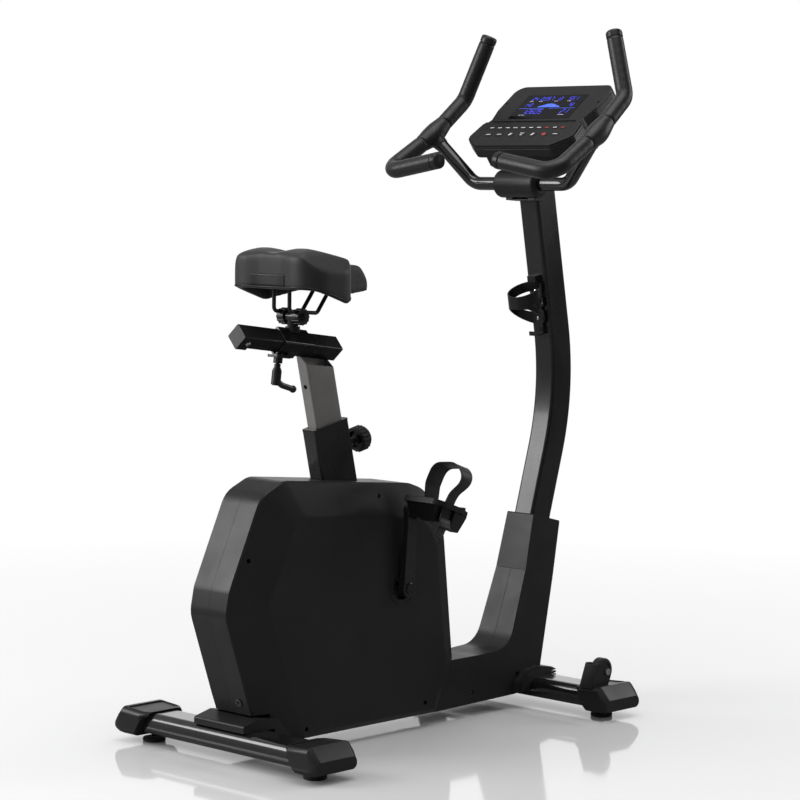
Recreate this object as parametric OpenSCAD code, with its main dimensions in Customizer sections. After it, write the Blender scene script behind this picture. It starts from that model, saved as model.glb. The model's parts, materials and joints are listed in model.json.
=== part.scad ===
// Upright exercise bike, built up from its separate parts.
// X is the rider's right, Y points from the saddle to the console, Z is up.
// Every module is drawn with the crank axle at Y = 0 and then moved by crank_y.

/* [Overall] */
// crank axle position behind the middle of the bike
crank_y = -66; // [-90:1:-20]
// height of the crank axle above the floor
crank_z = 331; // [300:1:360]
// crank length, axle to pedal
crank_l = 175; // [150:1:180]
// lean of the seat post, degrees back from upright
post_lean = 13; // [5:0.5:20]
// nose-down slope of the saddle slider, degrees
slide_slope = 7.2; // [0:0.1:10]
// slope of the console face, degrees
console_slope = 37; // [20:1:60]

/* [Housing] */
// half width of the drive housing at its rim
rim_x = 58; // [50:0.5:70]
// half width of the drive housing at its raised sides
face_x = 74; // [60:0.5:80]
// wall of the moulded covers
wall = 3; // [2:0.5:4]
// lowest edge of the covers above the floor
cover_z = 29; // [20:1:40]

/* [Base] */
// middle of the rear stabiliser, behind the crank
rear_y = -443.5; // [-500:0.5:-420]
// middle of the front stabiliser, ahead of the crank
front_y = 484; // [430:1:500]
// half length of the stabiliser tube
bar_x = 285; // [260:1:300]
// half length over the end caps
base_x = 318; // [300:1:340]
// levelling foot distance from the middle
foot_x = 254; // [230:1:280]
// levelling foot radius
foot_r = 25; // [20:1:40]

/* [Column and bars] */
// width of the column tube
col_w = 58; // [40:1:60]
// depth of the column tube
col_d = 71; // [50:1:80]
// radius of the column's bend
col_r = 632; // [500:1:800]
// radius of the bare bar tube
bar_r = 16.4; // [12:0.2:17]
// radius of the cross tube between both bars
stem_r = 16; // [12:0.2:16.4]
// radius of the foam on the rear hand grips
grip_r = 20; // [19:0.5:22]
// radius of the foam on the upright horns
horn_r = 19.5; // [19:0.5:22]

/* [Hidden] */
$fn = 48;
eps = 0.01;
gap = 0.3;

// seat post axis, starting where it leaves the housing
seat_y = -145;
seat_z = 578;
post_w = 30;
post_d = 80;
sleeve_w = 42;
sleeve_d = 104;
sleeve_top = 127;

// saddle slider: a square tube standing on its edge
slide_a = 19.5;
slide_y0 = -434;
slide_z0 = 902;
slide_len = 288;
slide_screw_y = 20;

// stabiliser section
tube_w = 90;
tube_h = 48;
tube_z0 = 22;
tube_top = tube_z0 + tube_h;
cap_w = 127;
cap_z0 = 18;
plate_t = 6;

// drive train
axle_r = 10;
pulley_x = 36;
pulley_w = 10;
big_r = 122;
small_r = 24;
fly_y = -300;
fly_z = 300;
fly_r = 122;
belt_t = 3;

// handlebar points on the right side
bar_tip = [88, 279, 1283];
bar_bend = [262, 279, 1254];
bar_tee = [255, 433, 1344];
bar_knee = [250, 538, 1430];
bar_top = [192, 563, 1583];
stem_mid = [0, 464, 1230];
stem_bend = [146, 464, 1230];

// ---------- outlines ----------

function unit(v) = v / norm(v);

// one outline corner [a, b, r] between its neighbours, turned into an arc of radius r
function corner(p, q, s) =
    let (r = len(q) > 2 ? q[2] : 0, c = [q[0], q[1]])
    r == 0 ? [c] :
    let (
        u = unit([p[0], p[1]] - c),
        v = unit([s[0], s[1]] - c),
        half = acos(max(-1, min(1, u * v))) / 2,
        mid = c + unit(u + v) * r / sin(half),
        a = c + u * r / tan(half) - mid,
        b = c + v * r / tan(half) - mid,
        a0 = atan2(a[1], a[0]),
        turn = atan2(a[0] * b[1] - a[1] * b[0], a * b),
        n = max(2, ceil(abs(turn) / 11))
    )
    [for (i = [0:n]) mid + r * [cos(a0 + turn * i / n), sin(a0 + turn * i / n)]];

// outline with rounded corners from a list of [a, b, r]
function rounded(p) =
    let (n = len(p))
    [for (i = [0:n - 1]) each corner(p[(i + n - 1) % n], p[i], p[(i + 1) % n])];

// rectangle with round corners, centred
module round_rect(w, h, r) {
    square([w - 2 * r, h], center = true);
    square([w, h - 2 * r], center = true);
    for (x = [-1, 1], y = [-1, 1])
        translate([x * (w / 2 - r), y * (h / 2 - r)]) circle(r);
}

// ---------- placing ----------

module place() {
    translate([0, crank_y, 0]) children();
}

// an outline given as [y, z], extruded from x0 to x1
module side_slab(x0, x1, points) {
    translate([x0, 0, 0]) rotate([90, 0, 90]) linear_extrude(x1 - x0) polygon(points);
}

// a flat shape given as x, z, extruded from y0 to y1
module front_slab(y0, y1) {
    translate([0, y1, 0]) rotate([90, 0, 0]) linear_extrude(y1 - y0) children();
}

// a cylinder along X
module x_rod(x0, x1, y, z, r) {
    translate([x0, y, z]) rotate([0, 90, 0]) cylinder(h = x1 - x0, r = r);
}

// a cylinder from point a to point b
module rod(a, b, r) {
    d = b - a;
    translate(a) rotate([0, acos(d[2] / norm(d)), atan2(d[1], d[0])])
        cylinder(h = norm(d), r = r);
}

// left copy of a right-hand part
module left() {
    mirror([1, 0, 0]) children();
}

// both the right-hand part and its left copy
module pair() {
    children();
    left() children();
}

// seat post frame: z runs up the post, y points forward across it
module on_post() {
    translate([0, seat_y, seat_z]) rotate([post_lean, 0, 0]) children();
}

// slider frame: y runs forward along the slider, z up across it
module on_slider() {
    translate([0, slide_y0, slide_z0]) rotate([-slide_slope, 0, 0]) children();
}

// console frame: y runs up the face, z stands out of the face
module on_console() {
    translate([0, 430, 1314]) rotate([console_slope, 0, 0]) children();
}

// ---------- bent round tube ----------

function seg_dir(p, i) = unit(p[i + 1] - p[i]);

// how far the path turns at point i
function turn_at(p, i) =
    i <= 0 || i >= len(p) - 1 ? 0 : acos(seg_dir(p, i - 1) * seg_dir(p, i));

// length of straight tube given up to the bend at point i
function seg_trim(p, i, bend) = bend * tan(turn_at(p, i) / 2);

function bend_axis(p, i) = unit(cross(seg_dir(p, i - 1), seg_dir(p, i)));

// twist between the planes of two bends that follow each other
function roll_at(p, i) =
    i >= len(p) - 2 ? 0 :
    let (n = bend_axis(p, i), m = bend_axis(p, i + 1))
    atan2(cross(n, m) * seg_dir(p, i), n * m);

bend_step = 0.04;
bend_lap = 0.5;

// solid round bar through three or more points, every corner bent to one radius;
// the bends are a hair thinner and the straight runs lap into them
module bent_rod(p, bend, r) {
    z = seg_dir(p, 0);
    y = bend_axis(p, 1);
    x = cross(y, z);
    multmatrix([
        [x[0], y[0], z[0], p[0][0]],
        [x[1], y[1], z[1], p[0][1]],
        [x[2], y[2], z[2], p[0][2]],
        [0, 0, 0, 1]
    ])
        bent_run(p, 0, bend, r);
}

// one straight run, the bend after it and all that follows
module bent_run(p, i, bend, r) {
    l = norm(p[i + 1] - p[i]) - seg_trim(p, i, bend) - seg_trim(p, i + 1, bend);
    lap0 = i > 0 ? bend_lap : 0;
    lap1 = i < len(p) - 2 ? bend_lap : 0;
    translate([0, 0, -lap0]) cylinder(h = l + lap0 + lap1, r = r);
    if (i < len(p) - 2) {
        turn = turn_at(p, i + 1);
        translate([bend, 0, l]) {
            rotate([90, 0, 180]) rotate_extrude(angle = turn)
                translate([bend, 0]) circle(r - bend_step);
            rotate([0, turn, 0]) translate([-bend, 0, 0]) rotate([0, 0, roll_at(p, i + 1)])
                bent_run(p, i + 1, bend, r);
        }
    }
}

// the same bar, run on past both ends so it can cut a bore
module bent_bore(p, bend, r) {
    n = len(p) - 1;
    q = [for (i = [0:n])
        i == 0 ? p[0] + unit(p[0] - p[1]) :
        i == n ? p[n] + unit(p[n] - p[n - 1]) : p[i]];
    bent_rod(q, bend, r);
}

function flip(p) = [for (q = p) [-q[0], q[1], q[2]]];

// ---------- base ----------

module stabiliser_section(w, h, r) {
    translate([0, h / 2]) round_rect(w, h, r);
}

module stabiliser(mid_y) {
    for (side = [0, 1]) mirror([side, 0, 0]) {
        difference() {
            translate([0, mid_y, tube_z0]) rotate([90, 0, 90])
                linear_extrude(bar_x) stabiliser_section(tube_w, tube_h, 20);
            translate([-1, mid_y, tube_z0 + 2.5]) rotate([90, 0, 90])
                linear_extrude(bar_x + 2) stabiliser_section(tube_w - 5, tube_h - 5, 17.5);
            translate([foot_x, mid_y, tube_z0 - 1]) cylinder(h = 6, r = stud_r + 1);
        }
        // welded nut for the levelling foot
        translate([foot_x, mid_y, tube_z0 + 2]) difference() {
            cylinder(h = 8, r = 9.5, $fn = 6);
            translate([0, 0, -1]) cylinder(h = 10, r = stud_r + 0.06);
        }
    }
}

// tube with the two holes for the frame bolts
module bolted_stabiliser(mid_y) {
    difference() {
        stabiliser(mid_y);
        for (x = [-22, 22]) translate([x, mid_y, tube_top - 10]) cylinder(h = 12, r = 5.06);
    }
}

module stabilisers() {
    color("#141416") place() {
        bolted_stabiliser(rear_y);
        bolted_stabiliser(front_y);
    }
}

// end cap: starts as the tube, flares, and ends in a sloped face
module end_cap(mid_y) {
    difference() {
        hull() {
            cap_slice(mid_y, 218, tube_w + 10, 73.5, cap_z0, 12);
            cap_slice(mid_y, 234, cap_w - 3, 75, cap_z0, 14);
            cap_slice(mid_y, 292, cap_w, 79, cap_z0, 16);
            cap_slice(mid_y, 304, cap_w - 1, 66, cap_z0 + 1, 16);
            cap_slice(mid_y, base_x - 1, cap_w - 10, 50, cap_z0 + 5, 13);
        }
        translate([200, mid_y, tube_z0 - 0.2]) rotate([90, 0, 90])
            linear_extrude(bar_x - 200 + gap)
            stabiliser_section(tube_w + 0.4, tube_h + 0.4, 20.2);
        translate([foot_x, mid_y, cap_z0 - 1]) cylinder(h = 20, r = stud_r + 1);
        // inner end slants back below the tray
        front_slab(mid_y - 80, mid_y + 80)
            polygon([[200, 0], [252, 0], [252, 24], [226, 64], [200, 64]]);
        // sunk tray on top
        translate([256, mid_y, 76.6]) rotate([0, -4, 0]) translate([0, 0, -2.6])
            linear_extrude(20) round_rect(58, 98, 5);
    }
}

module cap_slice(mid_y, x, w, top, bottom, r) {
    translate([x, mid_y, (top + bottom) / 2]) rotate([90, 0, 90])
        linear_extrude(1) round_rect(w, top - bottom, r);
}

module rear_end_caps() {
    color("#17171a") place() pair() end_cap(rear_y);
}

wheel_x = 256;
wheel_y = 477;
wheel_z = 107;
wheel_r = 30;

// fork for a transport wheel, standing on the front end cap
module wheel_fork() {
    fork = rounded([
        [421, 73, 0], [443, 129, 5], [461, 127, 8], [492, 111, 11], [491, 93, 8], [481, 73, 0]
    ]);
    for (x = [wheel_x - 18, wheel_x + 14])
        difference() {
            side_slab(x, x + 4, fork);
            x_rod(x - 1, x + 5, wheel_y, wheel_z, 5.06);
        }
    side_slab(wheel_x - 18, wheel_x + 18,
        [[421, 73], [427, 73], [446, 123], [443, 126.5], [441.5, 125]]);
}

module front_end_caps() {
    color("#17171a") place() pair() {
        difference() {
            end_cap(front_y);
            x_rod(wheel_x - 14, wheel_x + 14, wheel_y, wheel_z, wheel_r + 2.5);
        }
        wheel_fork();
    }
}

// levelling foot on its threaded stud
stud_r = 5;

module foot(x, y) {
    color("#0e0e0f") place() translate([x, y, 0]) {
        rotate_extrude() polygon([
            [0, 0], [foot_r - 1.5, 0], [foot_r, 1.5], [foot_r, 7], [foot_r - 2.5, 9],
            [13, 10.5], [0, 10.5]
        ]);
        cylinder(h = 52, r = stud_r);
    }
}

module rear_left_foot() foot(-foot_x, rear_y);
module rear_right_foot() foot(foot_x, rear_y);
module front_left_foot() foot(-foot_x, front_y);
module front_right_foot() foot(foot_x, front_y);

module wheel(side) {
    color("#101011") place() translate([side * wheel_x, wheel_y, wheel_z])
        rotate([0, 90, 0]) rotate_extrude() polygon([
            [5.06, -12], [10, -12], [10, -8], [21, -8], [22, -10], [wheel_r - 2, -10],
            [wheel_r, -8], [wheel_r, 8], [wheel_r - 2, 10], [22, 10], [21, 8],
            [10, 8], [10, 12], [5.06, 12]
        ]);
}

module left_wheel() wheel(-1);
module right_wheel() wheel(1);

module wheel_axles() {
    color("#8f9195") place() pair() {
        x_rod(wheel_x - 23, wheel_x + 18.3, wheel_y, wheel_z, 5);
        x_rod(wheel_x + 18.3, wheel_x + 22, wheel_y, wheel_z, 8);
        difference() {
            translate([wheel_x - 22.5, wheel_y, wheel_z]) rotate([0, 90, 0])
                cylinder(h = 4, r = 8, $fn = 6);
            x_rod(wheel_x - 24, wheel_x - 17, wheel_y, wheel_z, 4);
        }
    }
}

// bolt with a domed head pointing down the given axis
module dome_bolt(r, shank, l) {
    rotate_extrude() polygon([[0, 0], [r, 0], [r, 2], [r * 0.8, 4.4], [r * 0.4, 5.6], [0, 6]]);
    translate([0, 0, -l]) cylinder(h = l, r = shank);
}

module frame_bolts() {
    color("#2a2b2d") place() for (y = [rear_y, front_y], x = [-22, 22])
        translate([x, y, tube_top + plate_t]) dome_bolt(9, 5, 16);
}

// ---------- welded frame ----------

bb_half = 33;

module seat_tube() {
    translate([0, 0, -520]) linear_extrude(520 + sleeve_top - 3)
        round_rect(sleeve_w, sleeve_d, 5);
}

beam_y0 = -395;
beam_y1 = 436;
beam_top = 104;

module floor_beam() {
    difference() {
        translate([-28, beam_y0, 44]) cube([56, beam_y1 - beam_y0, beam_top - 44]);
        translate([-25.5, beam_y0 + 2.5, 46.5])
            cube([51, beam_y1 - beam_y0 - 5, beam_top - 49]);
    }
}

// plate from one beam end out over its stabiliser, with two ribs
module beam_plate(y0, y1, bolt_y, rib) {
    difference() {
        translate([-34, y0, tube_top]) cube([68, y1 - y0, plate_t]);
        for (x = [-22, 22]) translate([x, bolt_y, tube_top - 1]) cylinder(h = 8, r = 5.06);
    }
    for (x = [-32, 27]) side_slab(x, x + 5, rib);
}

module main_frame() {
    color("#151517") place() {
        floor_beam();
        beam_plate(rear_y - 28, beam_y0 + 8, rear_y,
            [[-428, 75], [-380, 75], [-380, 100], [beam_y0, 100]]);
        beam_plate(beam_y1 - 8, front_y + 28, front_y,
            [[420, 75], [464, 75], [beam_y1, 100], [420, 100]]);
        // seat tube, cut off at the floor beam
        difference() {
            on_post() seat_tube();
            on_post() translate([0, 0, -530]) linear_extrude(750)
                round_rect(sleeve_w - 5, sleeve_d - 5, 3);
            translate([-60, -300, 0]) cube([120, 500, beam_top]);
            on_post() translate([0, 40, 65.6]) rotate([-90, 0, 0]) cylinder(h = 20, r = 8);
        }
        // collar for the height pin, welded on the seat tube
        on_post() translate([0, sleeve_d / 2, 65.6]) rotate([-90, 0, 0]) difference() {
            rotate_extrude() polygon([
                [0, -2.5], [13, -2.5], [13, 10], [10, 12], [10, 20], [0, 20]
            ]);
            translate([0, 0, -4]) cylinder(h = 30, r = 6.1);
        }
        // crank bearing shell, welded to the seat tube through two gussets
        difference() {
            union() {
                x_rod(-bb_half, bb_half, 0, crank_z, 24);
                for (x = [-18, 14])
                    on_post() side_slab(x, x + 4,
                        [[50.5, -345], [50.5, -205], [72, -252], [94, -262], [94, -286], [72, -296]]);
            }
            x_rod(-40, 40, 0, crank_z, 20.01);
        }
        // flywheel stays
        for (x = [-36, 49])
            difference() {
                side_slab(x, x + 4, rounded([
                    [-340, 92, 0], [-250, 92, 0], [-284, 330, 12], [-316, 330, 12]
                ]));
                x_rod(x - 1, x + 5, fly_y, fly_z, 6);
            }
        for (y = [-336, -262])
            translate([-36, y, 92]) cube([89, 8, 12]);
    }
}

// ---------- column ----------

col_y = -40;
col_z = 775;
col_low = 16.1;
col_high = 10.5;
col_foot = 600;
col_rise = 450;

module column_profile(grow) {
    round_rect(col_d + 2 * grow, col_w + 2 * grow, 8 + grow);
}

// straight foot, one bend and straight top, thickened by grow;
// the bend is a hair thinner and both straight runs lap into it
module column_shape(grow) {
    translate([0, col_y, col_z]) rotate([90, 0, 90]) rotate([0, 0, -col_low]) {
        rotate_extrude(angle = col_low + col_high)
            translate([col_r, 0]) column_profile(grow - 0.03);
        translate([col_r, 3, 0]) rotate([90, 0, 0])
            linear_extrude(col_foot) column_profile(grow);
        rotate([0, 0, col_low + col_high]) translate([col_r, -3, 0]) rotate([-90, 0, 0])
            linear_extrude(col_rise) column_profile(grow);
    }
}

// frame on the column's rear face: z runs up the face, y points into the column
module on_column() {
    translate([0, col_y, col_z]) rotate([col_high, 0, 0])
        translate([0, col_r - col_d / 2, 0]) children();
}

module column() {
    color("#111113") place() {
        difference() {
            union() {
                column_shape(0);
                // foot flange on the floor beam
                translate([-30, 384, 100]) cube([60, 92, 10]);
            }
            column_shape(-2.4);
            translate([-60, 300, -100]) cube([120, 300, 100 + beam_top]);
            on_console() translate([-60, -60, -59]) cube([120, 300, 200]);
        }
        // cradle for the handlebar stem
        difference() {
            side_slab(-24, 24, rounded([
                [462, 1199, 0], [490, 1193, 0], [486, 1250, 0], [462, 1250, 0]
            ]));
            x_rod(-30, 30, stem_mid[1], stem_mid[2], stem_r + 0.06);
            column_shape(-1);
        }
        // console mounting plate on the column's head
        on_console() translate([-40, 4, -62]) cube([80, 96, 3.6]);
    }
}

// ---------- moulded covers ----------

housing_side = [
    [-516, 318, 60], [-505, 373, 60], [-417, 566, 60], [-351, 595, 50], [35, 561, 60],
    [88, 543, 70], [152, 440, 60], [185, 145, 0], [168, 141, 0], [131, 56, 0],
    [125, cover_z, 0], [-413, cover_z, 0], [-453, 135, 40]
];
// its edges run parallel to those of housing_side, so that every facet is flat
housing_face = [
    [-414, 330, 30], [-333, 507.6, 60], [-307, 519, 50], [35, 489, 60], [82, 473, 60],
    [118, 415, 60], [148, 147, 0], [118, 60, 0], [112, 36, 0], [-313, 36, 20]
];

// the bulged housing, shrunk all round by inset
module housing(inset) {
    hull() {
        housing_slice(0, rim_x - 3 - inset, inset, housing_side);
        housing_slice(0, rim_x - inset, inset + 3, housing_side);
        housing_slice(0, face_x - 1.2 - inset, inset, housing_face);
        housing_slice(0, face_x - inset, inset + 10, housing_face);
    }
}

module housing_slice(x0, x1, inset, points) {
    translate([x0, 0, 0]) rotate([90, 0, 90]) linear_extrude(x1 - x0)
        offset(delta = -inset) polygon(rounded(points));
}

housing_screws = [[-454, 433], [-68, 541], [-294, 53], [60, 510], [78, 60]];
cover_screw_spots = [[255, 57]];
jack_pos = [28, -450, 127];
jack_tilt = 110.7;

module side_cover() {
    difference() {
        housing(0);
        housing(wall);
        // parting line
        translate([-10, -700, 0]) cube([10 + gap / 2, 1400, 800]);
        // room for the rear stabiliser and its cover
        translate([-1, -700, 0]) cube([200, 700 - 393, 100]);
        // way through for the floor beam and seat tube
        translate([-1, 90, cover_z + wall]) cube([rim_x - wall + 1, 120, 105]);
        on_post() translate([-1, -sleeve_d / 2 - 1, -80])
            cube([sleeve_w / 2 + 2, sleeve_d + 2, 200]);
        // crank opening
        x_rod(40, 90, 0, crank_z, 28);
        for (s = housing_screws) x_rod(rim_x - 2, 90, s[0], s[1], 5);
    }
    // raised ring round the crank opening
    difference() {
        x_rod(face_x - 5, face_x + 1.2, 0, crank_z, 40);
        x_rod(face_x - 6, face_x + 2, 0, crank_z, 28);
        x_rod(face_x - 1.5, face_x + 2, 0, crank_z, 37);
    }
}

// the power jack sits low on the back of the right-hand cover
module right_side_cover() {
    color("#1b1b1d") place() difference() {
        side_cover();
        translate(jack_pos) rotate([jack_tilt, 0, 0]) translate([0, 0, -12])
            cylinder(h = 24, r = 6.1);
    }
}

module left_side_cover() {
    color("#1b1b1d") place() left() side_cover();
}

front_cover_side = [
    [125.6, cover_z, 0], [183.4, 141, 0], [290, 141, 0], [384, 146, 62],
    [447, 321.7, 0], [545, 296, 0], [492.5, 84, 0], [408, 84, 0], [408, 34, 4]
];
boot_side = [
    [447, 322, 0], [479, 452, 4], [574, 428, 4], [545, 296.3, 0]
];

function taper_x(z, inset) = 59.6 - 0.0416 * z - inset;

// keeps a boot-shaped part within the tapering width of the boot
module boot_taper(inset) {
    front_slab(0, 700) polygon([
        [-taper_x(0, inset), 0], [taper_x(0, inset), 0],
        [taper_x(600, inset), 600], [-taper_x(600, inset), 600]
    ]);
}

module front_cover() {
    difference() {
        intersection() {
            side_slab(gap / 2, 70, rounded(front_cover_side));
            boot_taper(0);
        }
        intersection() {
            side_slab(-1, 70, rounded([
                [100, cover_z + wall, 0], [100, 138, 0], [290, 138, 0], [385.5, 143, 65],
                [452.5, 330, 0], [549.5, 330, 0], [483, 60, 0], [410, 60, 0], [410, cover_z + wall, 0]
            ]));
            boot_taper(wall);
        }
        for (s = cover_screw_spots) x_rod(50, 80, s[0], s[1], 4.5);
    }
}

module right_front_cover() {
    color("#1c1c1e") place() front_cover();
}

module left_front_cover() {
    color("#1c1c1e") place() left() front_cover();
}

module column_boot() {
    color("#1d1d1f") place() difference() {
        intersection() {
            side_slab(-60, 60, rounded(boot_side));
            boot_taper(0);
        }
        intersection() {
            side_slab(-60, 60, [[449, 310], [482.5, 447], [569.5, 425], [541, 290]]);
            boot_taper(wall);
        }
        column_shape(0.5);
    }
}

// box over the joint between the frame and the rear stabiliser
module rear_cover() {
    difference() {
        side_slab(gap / 2, 78, rounded([
            [-483, 70, 3], [-483, 86, 5], [-436, 97.5, 8], [-382, 90, 14], [-343, 47, 6],
            [-300, 33, 0], [-392, 33, 0], [-392, 70, 0]
        ]));
        side_slab(-1, 75, rounded([
            [-480, 60, 0], [-480, 83.5, 4], [-436, 94.3, 8], [-394, 88.5, 0], [-394, 60, 0]
        ]));
        hull() {
            housing_slice(-1, rim_x + 0.4, -0.4, housing_side);
            housing_slice(-1, face_x + 0.4, -0.4, housing_face);
        }
        translate([-1, rear_y, tube_z0 - 0.4]) rotate([90, 0, 90])
            linear_extrude(120) stabiliser_section(tube_w + 0.8, tube_h + 0.8, 20.4);
        translate([-1, beam_y0 - 1, 20]) cube([33.5, 200, 85]);
        translate([-1, rear_y - 29, tube_top - 1]) cube([35.5, 80, 14]);
    }
}

module rear_covers() {
    color("#19191b") place() pair() rear_cover();
}

// ribbed collar between the boot and the front stabiliser
module front_stabiliser_cover() {
    color("#161618") place() difference() {
        union() {
            side_slab(-74, 74, rounded([
                [390, 40, 2], [396, 64, 14], [424, 88, 24], [468, 94, 24], [514, 87, 4],
                [530, 80, 3], [532, 64, 4], [496, 58, 0], [436, 40, 0]
            ]));
            side_slab(-78, 78, rounded([
                [400, 42, 2], [404, 62, 12], [428, 82, 22], [468, 88, 22], [506, 82, 4],
                [520, 74, 3], [518, 62, 0], [436, 58, 0], [428, 42, 0]
            ]));
        }
        for (x = [-90, 60.5]) for (z = [68, 75])
            translate([x, 508, z]) cube([29.5, 30, 3]);
        intersection() {
            side_slab(-70, 70, [[380, 20], [380, 110], [499.5, 110], [493, 84], [493, 20]]);
            boot_taper(-0.4);
        }
        translate([-100, front_y, tube_z0 - 0.4]) rotate([90, 0, 90])
            linear_extrude(200) stabiliser_section(tube_w + 0.8, tube_h + 0.8, 20.4);
        translate([-36, 380, 20]) cube([72, 134, 64]);
    }
}

module screw_head(r) {
    difference() {
        rotate_extrude() polygon([[0, 0], [r, 0], [r * 0.9, 1.2], [r * 0.5, 2.2], [0, 2.5]]);
        for (a = [0, 90]) rotate([0, 0, a]) translate([-r * 0.5, -0.5, 1]) cube([r, 1, 3]);
    }
    translate([0, 0, -8]) cylinder(h = 8, r = r * 0.45);
}

module cover_screws() {
    color("#9a9ca0") place() {
        pair() {
            for (s = housing_screws)
                translate([screw_seat(s), s[0], s[1]]) rotate([0, 90, 0]) screw_head(4);
            for (s = cover_screw_spots)
                translate([taper_x(s[1], wall + 2), s[0], s[1]]) rotate([0, 90, 0]) screw_head(3.6);
        }
        on_console() for (p = [[143, 178], [-143, 178]])
            translate([p[0], p[1], -4.2]) screw_head(2.6);
        on_column() for (z = cage_holes) translate([0, -cage_spine - 0.3, z])
            rotate([90, 0, 0]) screw_head(4.5);
    }
}

// screws on the raised sides sit further out than those on the rim
function screw_seat(s) = s[0] > -400 && s[1] > 100 ? face_x - 16 : rim_x - 8;

module power_jack() {
    color("#2b2c2e") place() translate(jack_pos) rotate([jack_tilt, 0, 0]) difference() {
        union() {
            translate([0, 0, 0.5]) cylinder(h = 2.5, r = 9);
            translate([0, 0, -20]) cylinder(h = 21, r = 6);
        }
        difference() {
            translate([0, 0, -12]) cylinder(h = 20, r = 3.2);
            translate([0, 0, -13]) cylinder(h = 12, r = 1);
        }
    }
}

// ---------- drive train ----------

module crank_bearings() {
    color("#8b8e92") place() for (x = [-31, 19])
        difference() {
            x_rod(x, x + 12, 0, crank_z, 20);
            x_rod(x - 1, x + 13, 0, crank_z, axle_r + 0.05);
        }
}

module crank_axle() {
    color("#a0a2a6") place() x_rod(-92, 92, 0, crank_z, axle_r);
}

module drive_pulley() {
    color("#26272a") place() difference() {
        union() {
            x_rod(pulley_x - 2, pulley_x, 0, crank_z, big_r + 4);
            x_rod(pulley_x, pulley_x + pulley_w, 0, crank_z, big_r);
            x_rod(pulley_x + pulley_w, pulley_x + pulley_w + 2, 0, crank_z, big_r + 4);
        }
        difference() {
            x_rod(pulley_x + 4, 90, 0, crank_z, big_r - 12);
            x_rod(pulley_x, 90, 0, crank_z, 26);
        }
        for (i = [0:5]) rotate_at_crank(60 * i) translate([0, 72, 0])
            x_rod(pulley_x - 5, 60, 0, 0, 22);
        x_rod(pulley_x - 5, 60, 0, crank_z, axle_r);
    }
}

module rotate_at_crank(a) {
    translate([0, 0, crank_z]) rotate([a, 0, 0]) children();
}

// belt outline: an arc on each pulley, joined by its straight runs
function belt_outline(grow) =
    let (
        lean = atan2(fly_z - crank_z, fly_y),
        open = acos((big_r - small_r) / norm([fly_y, fly_z - crank_z])),
        r1 = big_r + gap + grow,
        r2 = small_r + gap + grow,
        n = 40
    )
    concat(
        [for (i = [0:n]) let (a = lean + open + (360 - 2 * open) * i / n)
            [r1 * cos(a), crank_z + r1 * sin(a)]],
        [for (i = [0:n / 2]) let (a = lean - open + 4 * open * i / n)
            [fly_y + r2 * cos(a), fly_z + r2 * sin(a)]]
    );

module drive_belt() {
    color("#0c0c0d") place() translate([pulley_x + 0.6, 0, 0]) rotate([90, 0, 90])
        linear_extrude(pulley_w - 1.2) difference() {
            polygon(belt_outline(belt_t));
            polygon(belt_outline(0));
        }
}

module flywheel() {
    color("#6d7074") place() translate([0, fly_y, fly_z]) rotate([0, 90, 0]) difference() {
        rotate_extrude() polygon([
            [6.05, -28], [22, -28], [22, -16], [fly_r - 34, -16], [fly_r - 30, -26],
            [fly_r - 1, -26], [fly_r, -25], [fly_r, 3], [fly_r - 1, 4], [fly_r - 30, 4],
            [fly_r - 34, -8], [22, -8], [22, 34], [small_r + 4, 34], [small_r + 4, 36],
            [small_r, 36], [small_r, 46], [small_r + 4, 46], [small_r + 4, 47], [6.05, 47]
        ]);
        for (a = [0:60:300]) rotate([0, 0, a]) translate([56, 0, -40]) cylinder(h = 60, r = 14);
    }
}

module flywheel_axle() {
    color("#9b9da1") place() {
        x_rod(-44, 54.5, fly_y, fly_z, 6);
        difference() {
            translate([-36.2, fly_y, fly_z]) rotate([0, -90, 0]) cylinder(h = 7, r = 10, $fn = 6);
            x_rod(-50, -30, fly_y, fly_z, 6);
        }
    }
}

module arc_band(r0, r1, a0, a1) {
    polygon(concat(
        [for (i = [0:12]) r1 * [cos(a0 + (a1 - a0) * i / 12), sin(a0 + (a1 - a0) * i / 12)]],
        [for (i = [12:-1:0]) r0 * [cos(a0 + (a1 - a0) * i / 12), sin(a0 + (a1 - a0) * i / 12)]]
    ));
}

// curved magnet carrier under the flywheel, pivoted at its front end
module brake_arm() {
    color("#4b4d50") place() difference() {
        translate([0, fly_y, fly_z]) rotate([90, 0, 90]) {
            translate([0, 0, -22]) linear_extrude(22) arc_band(fly_r + 7, fly_r + 13, 232, 306);
            for (a = [240:16:288])
                translate([0, 0, -19]) linear_extrude(16)
                    arc_band(fly_r + 3, fly_r + 7.5, a, a + 9);
            translate([(fly_r + 12) * cos(308), (fly_r + 12) * sin(308), -22])
                linear_extrude(22) circle(10);
        }
        x_rod(-60, 60, arm_y, arm_z, 4.1);
    }
}

arm_y = fly_y + (fly_r + 12) * cos(308);
arm_z = fly_z + (fly_r + 12) * sin(308);

module brake_motor() {
    color("#232427") place() {
        translate([-24, -190, 104]) linear_extrude(34) translate([24, 0]) round_rect(46, 60, 5);
        translate([0, -190, 138]) cylinder(h = 8, r = 14);
        // bracket carrying the arm's pivot pin
        x_rod(-30, 8, arm_y, arm_z, 4);
        for (x = [-30, 4])
            side_slab(x, x + 4, rounded([
                [arm_y - 12, 104, 0], [arm_y + 12, 104, 0], [arm_y + 9, arm_z + 8, 6],
                [arm_y - 9, arm_z + 8, 6]
            ]));
    }
}

// ---------- cranks and pedals ----------

arm_x0 = 79;

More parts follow.
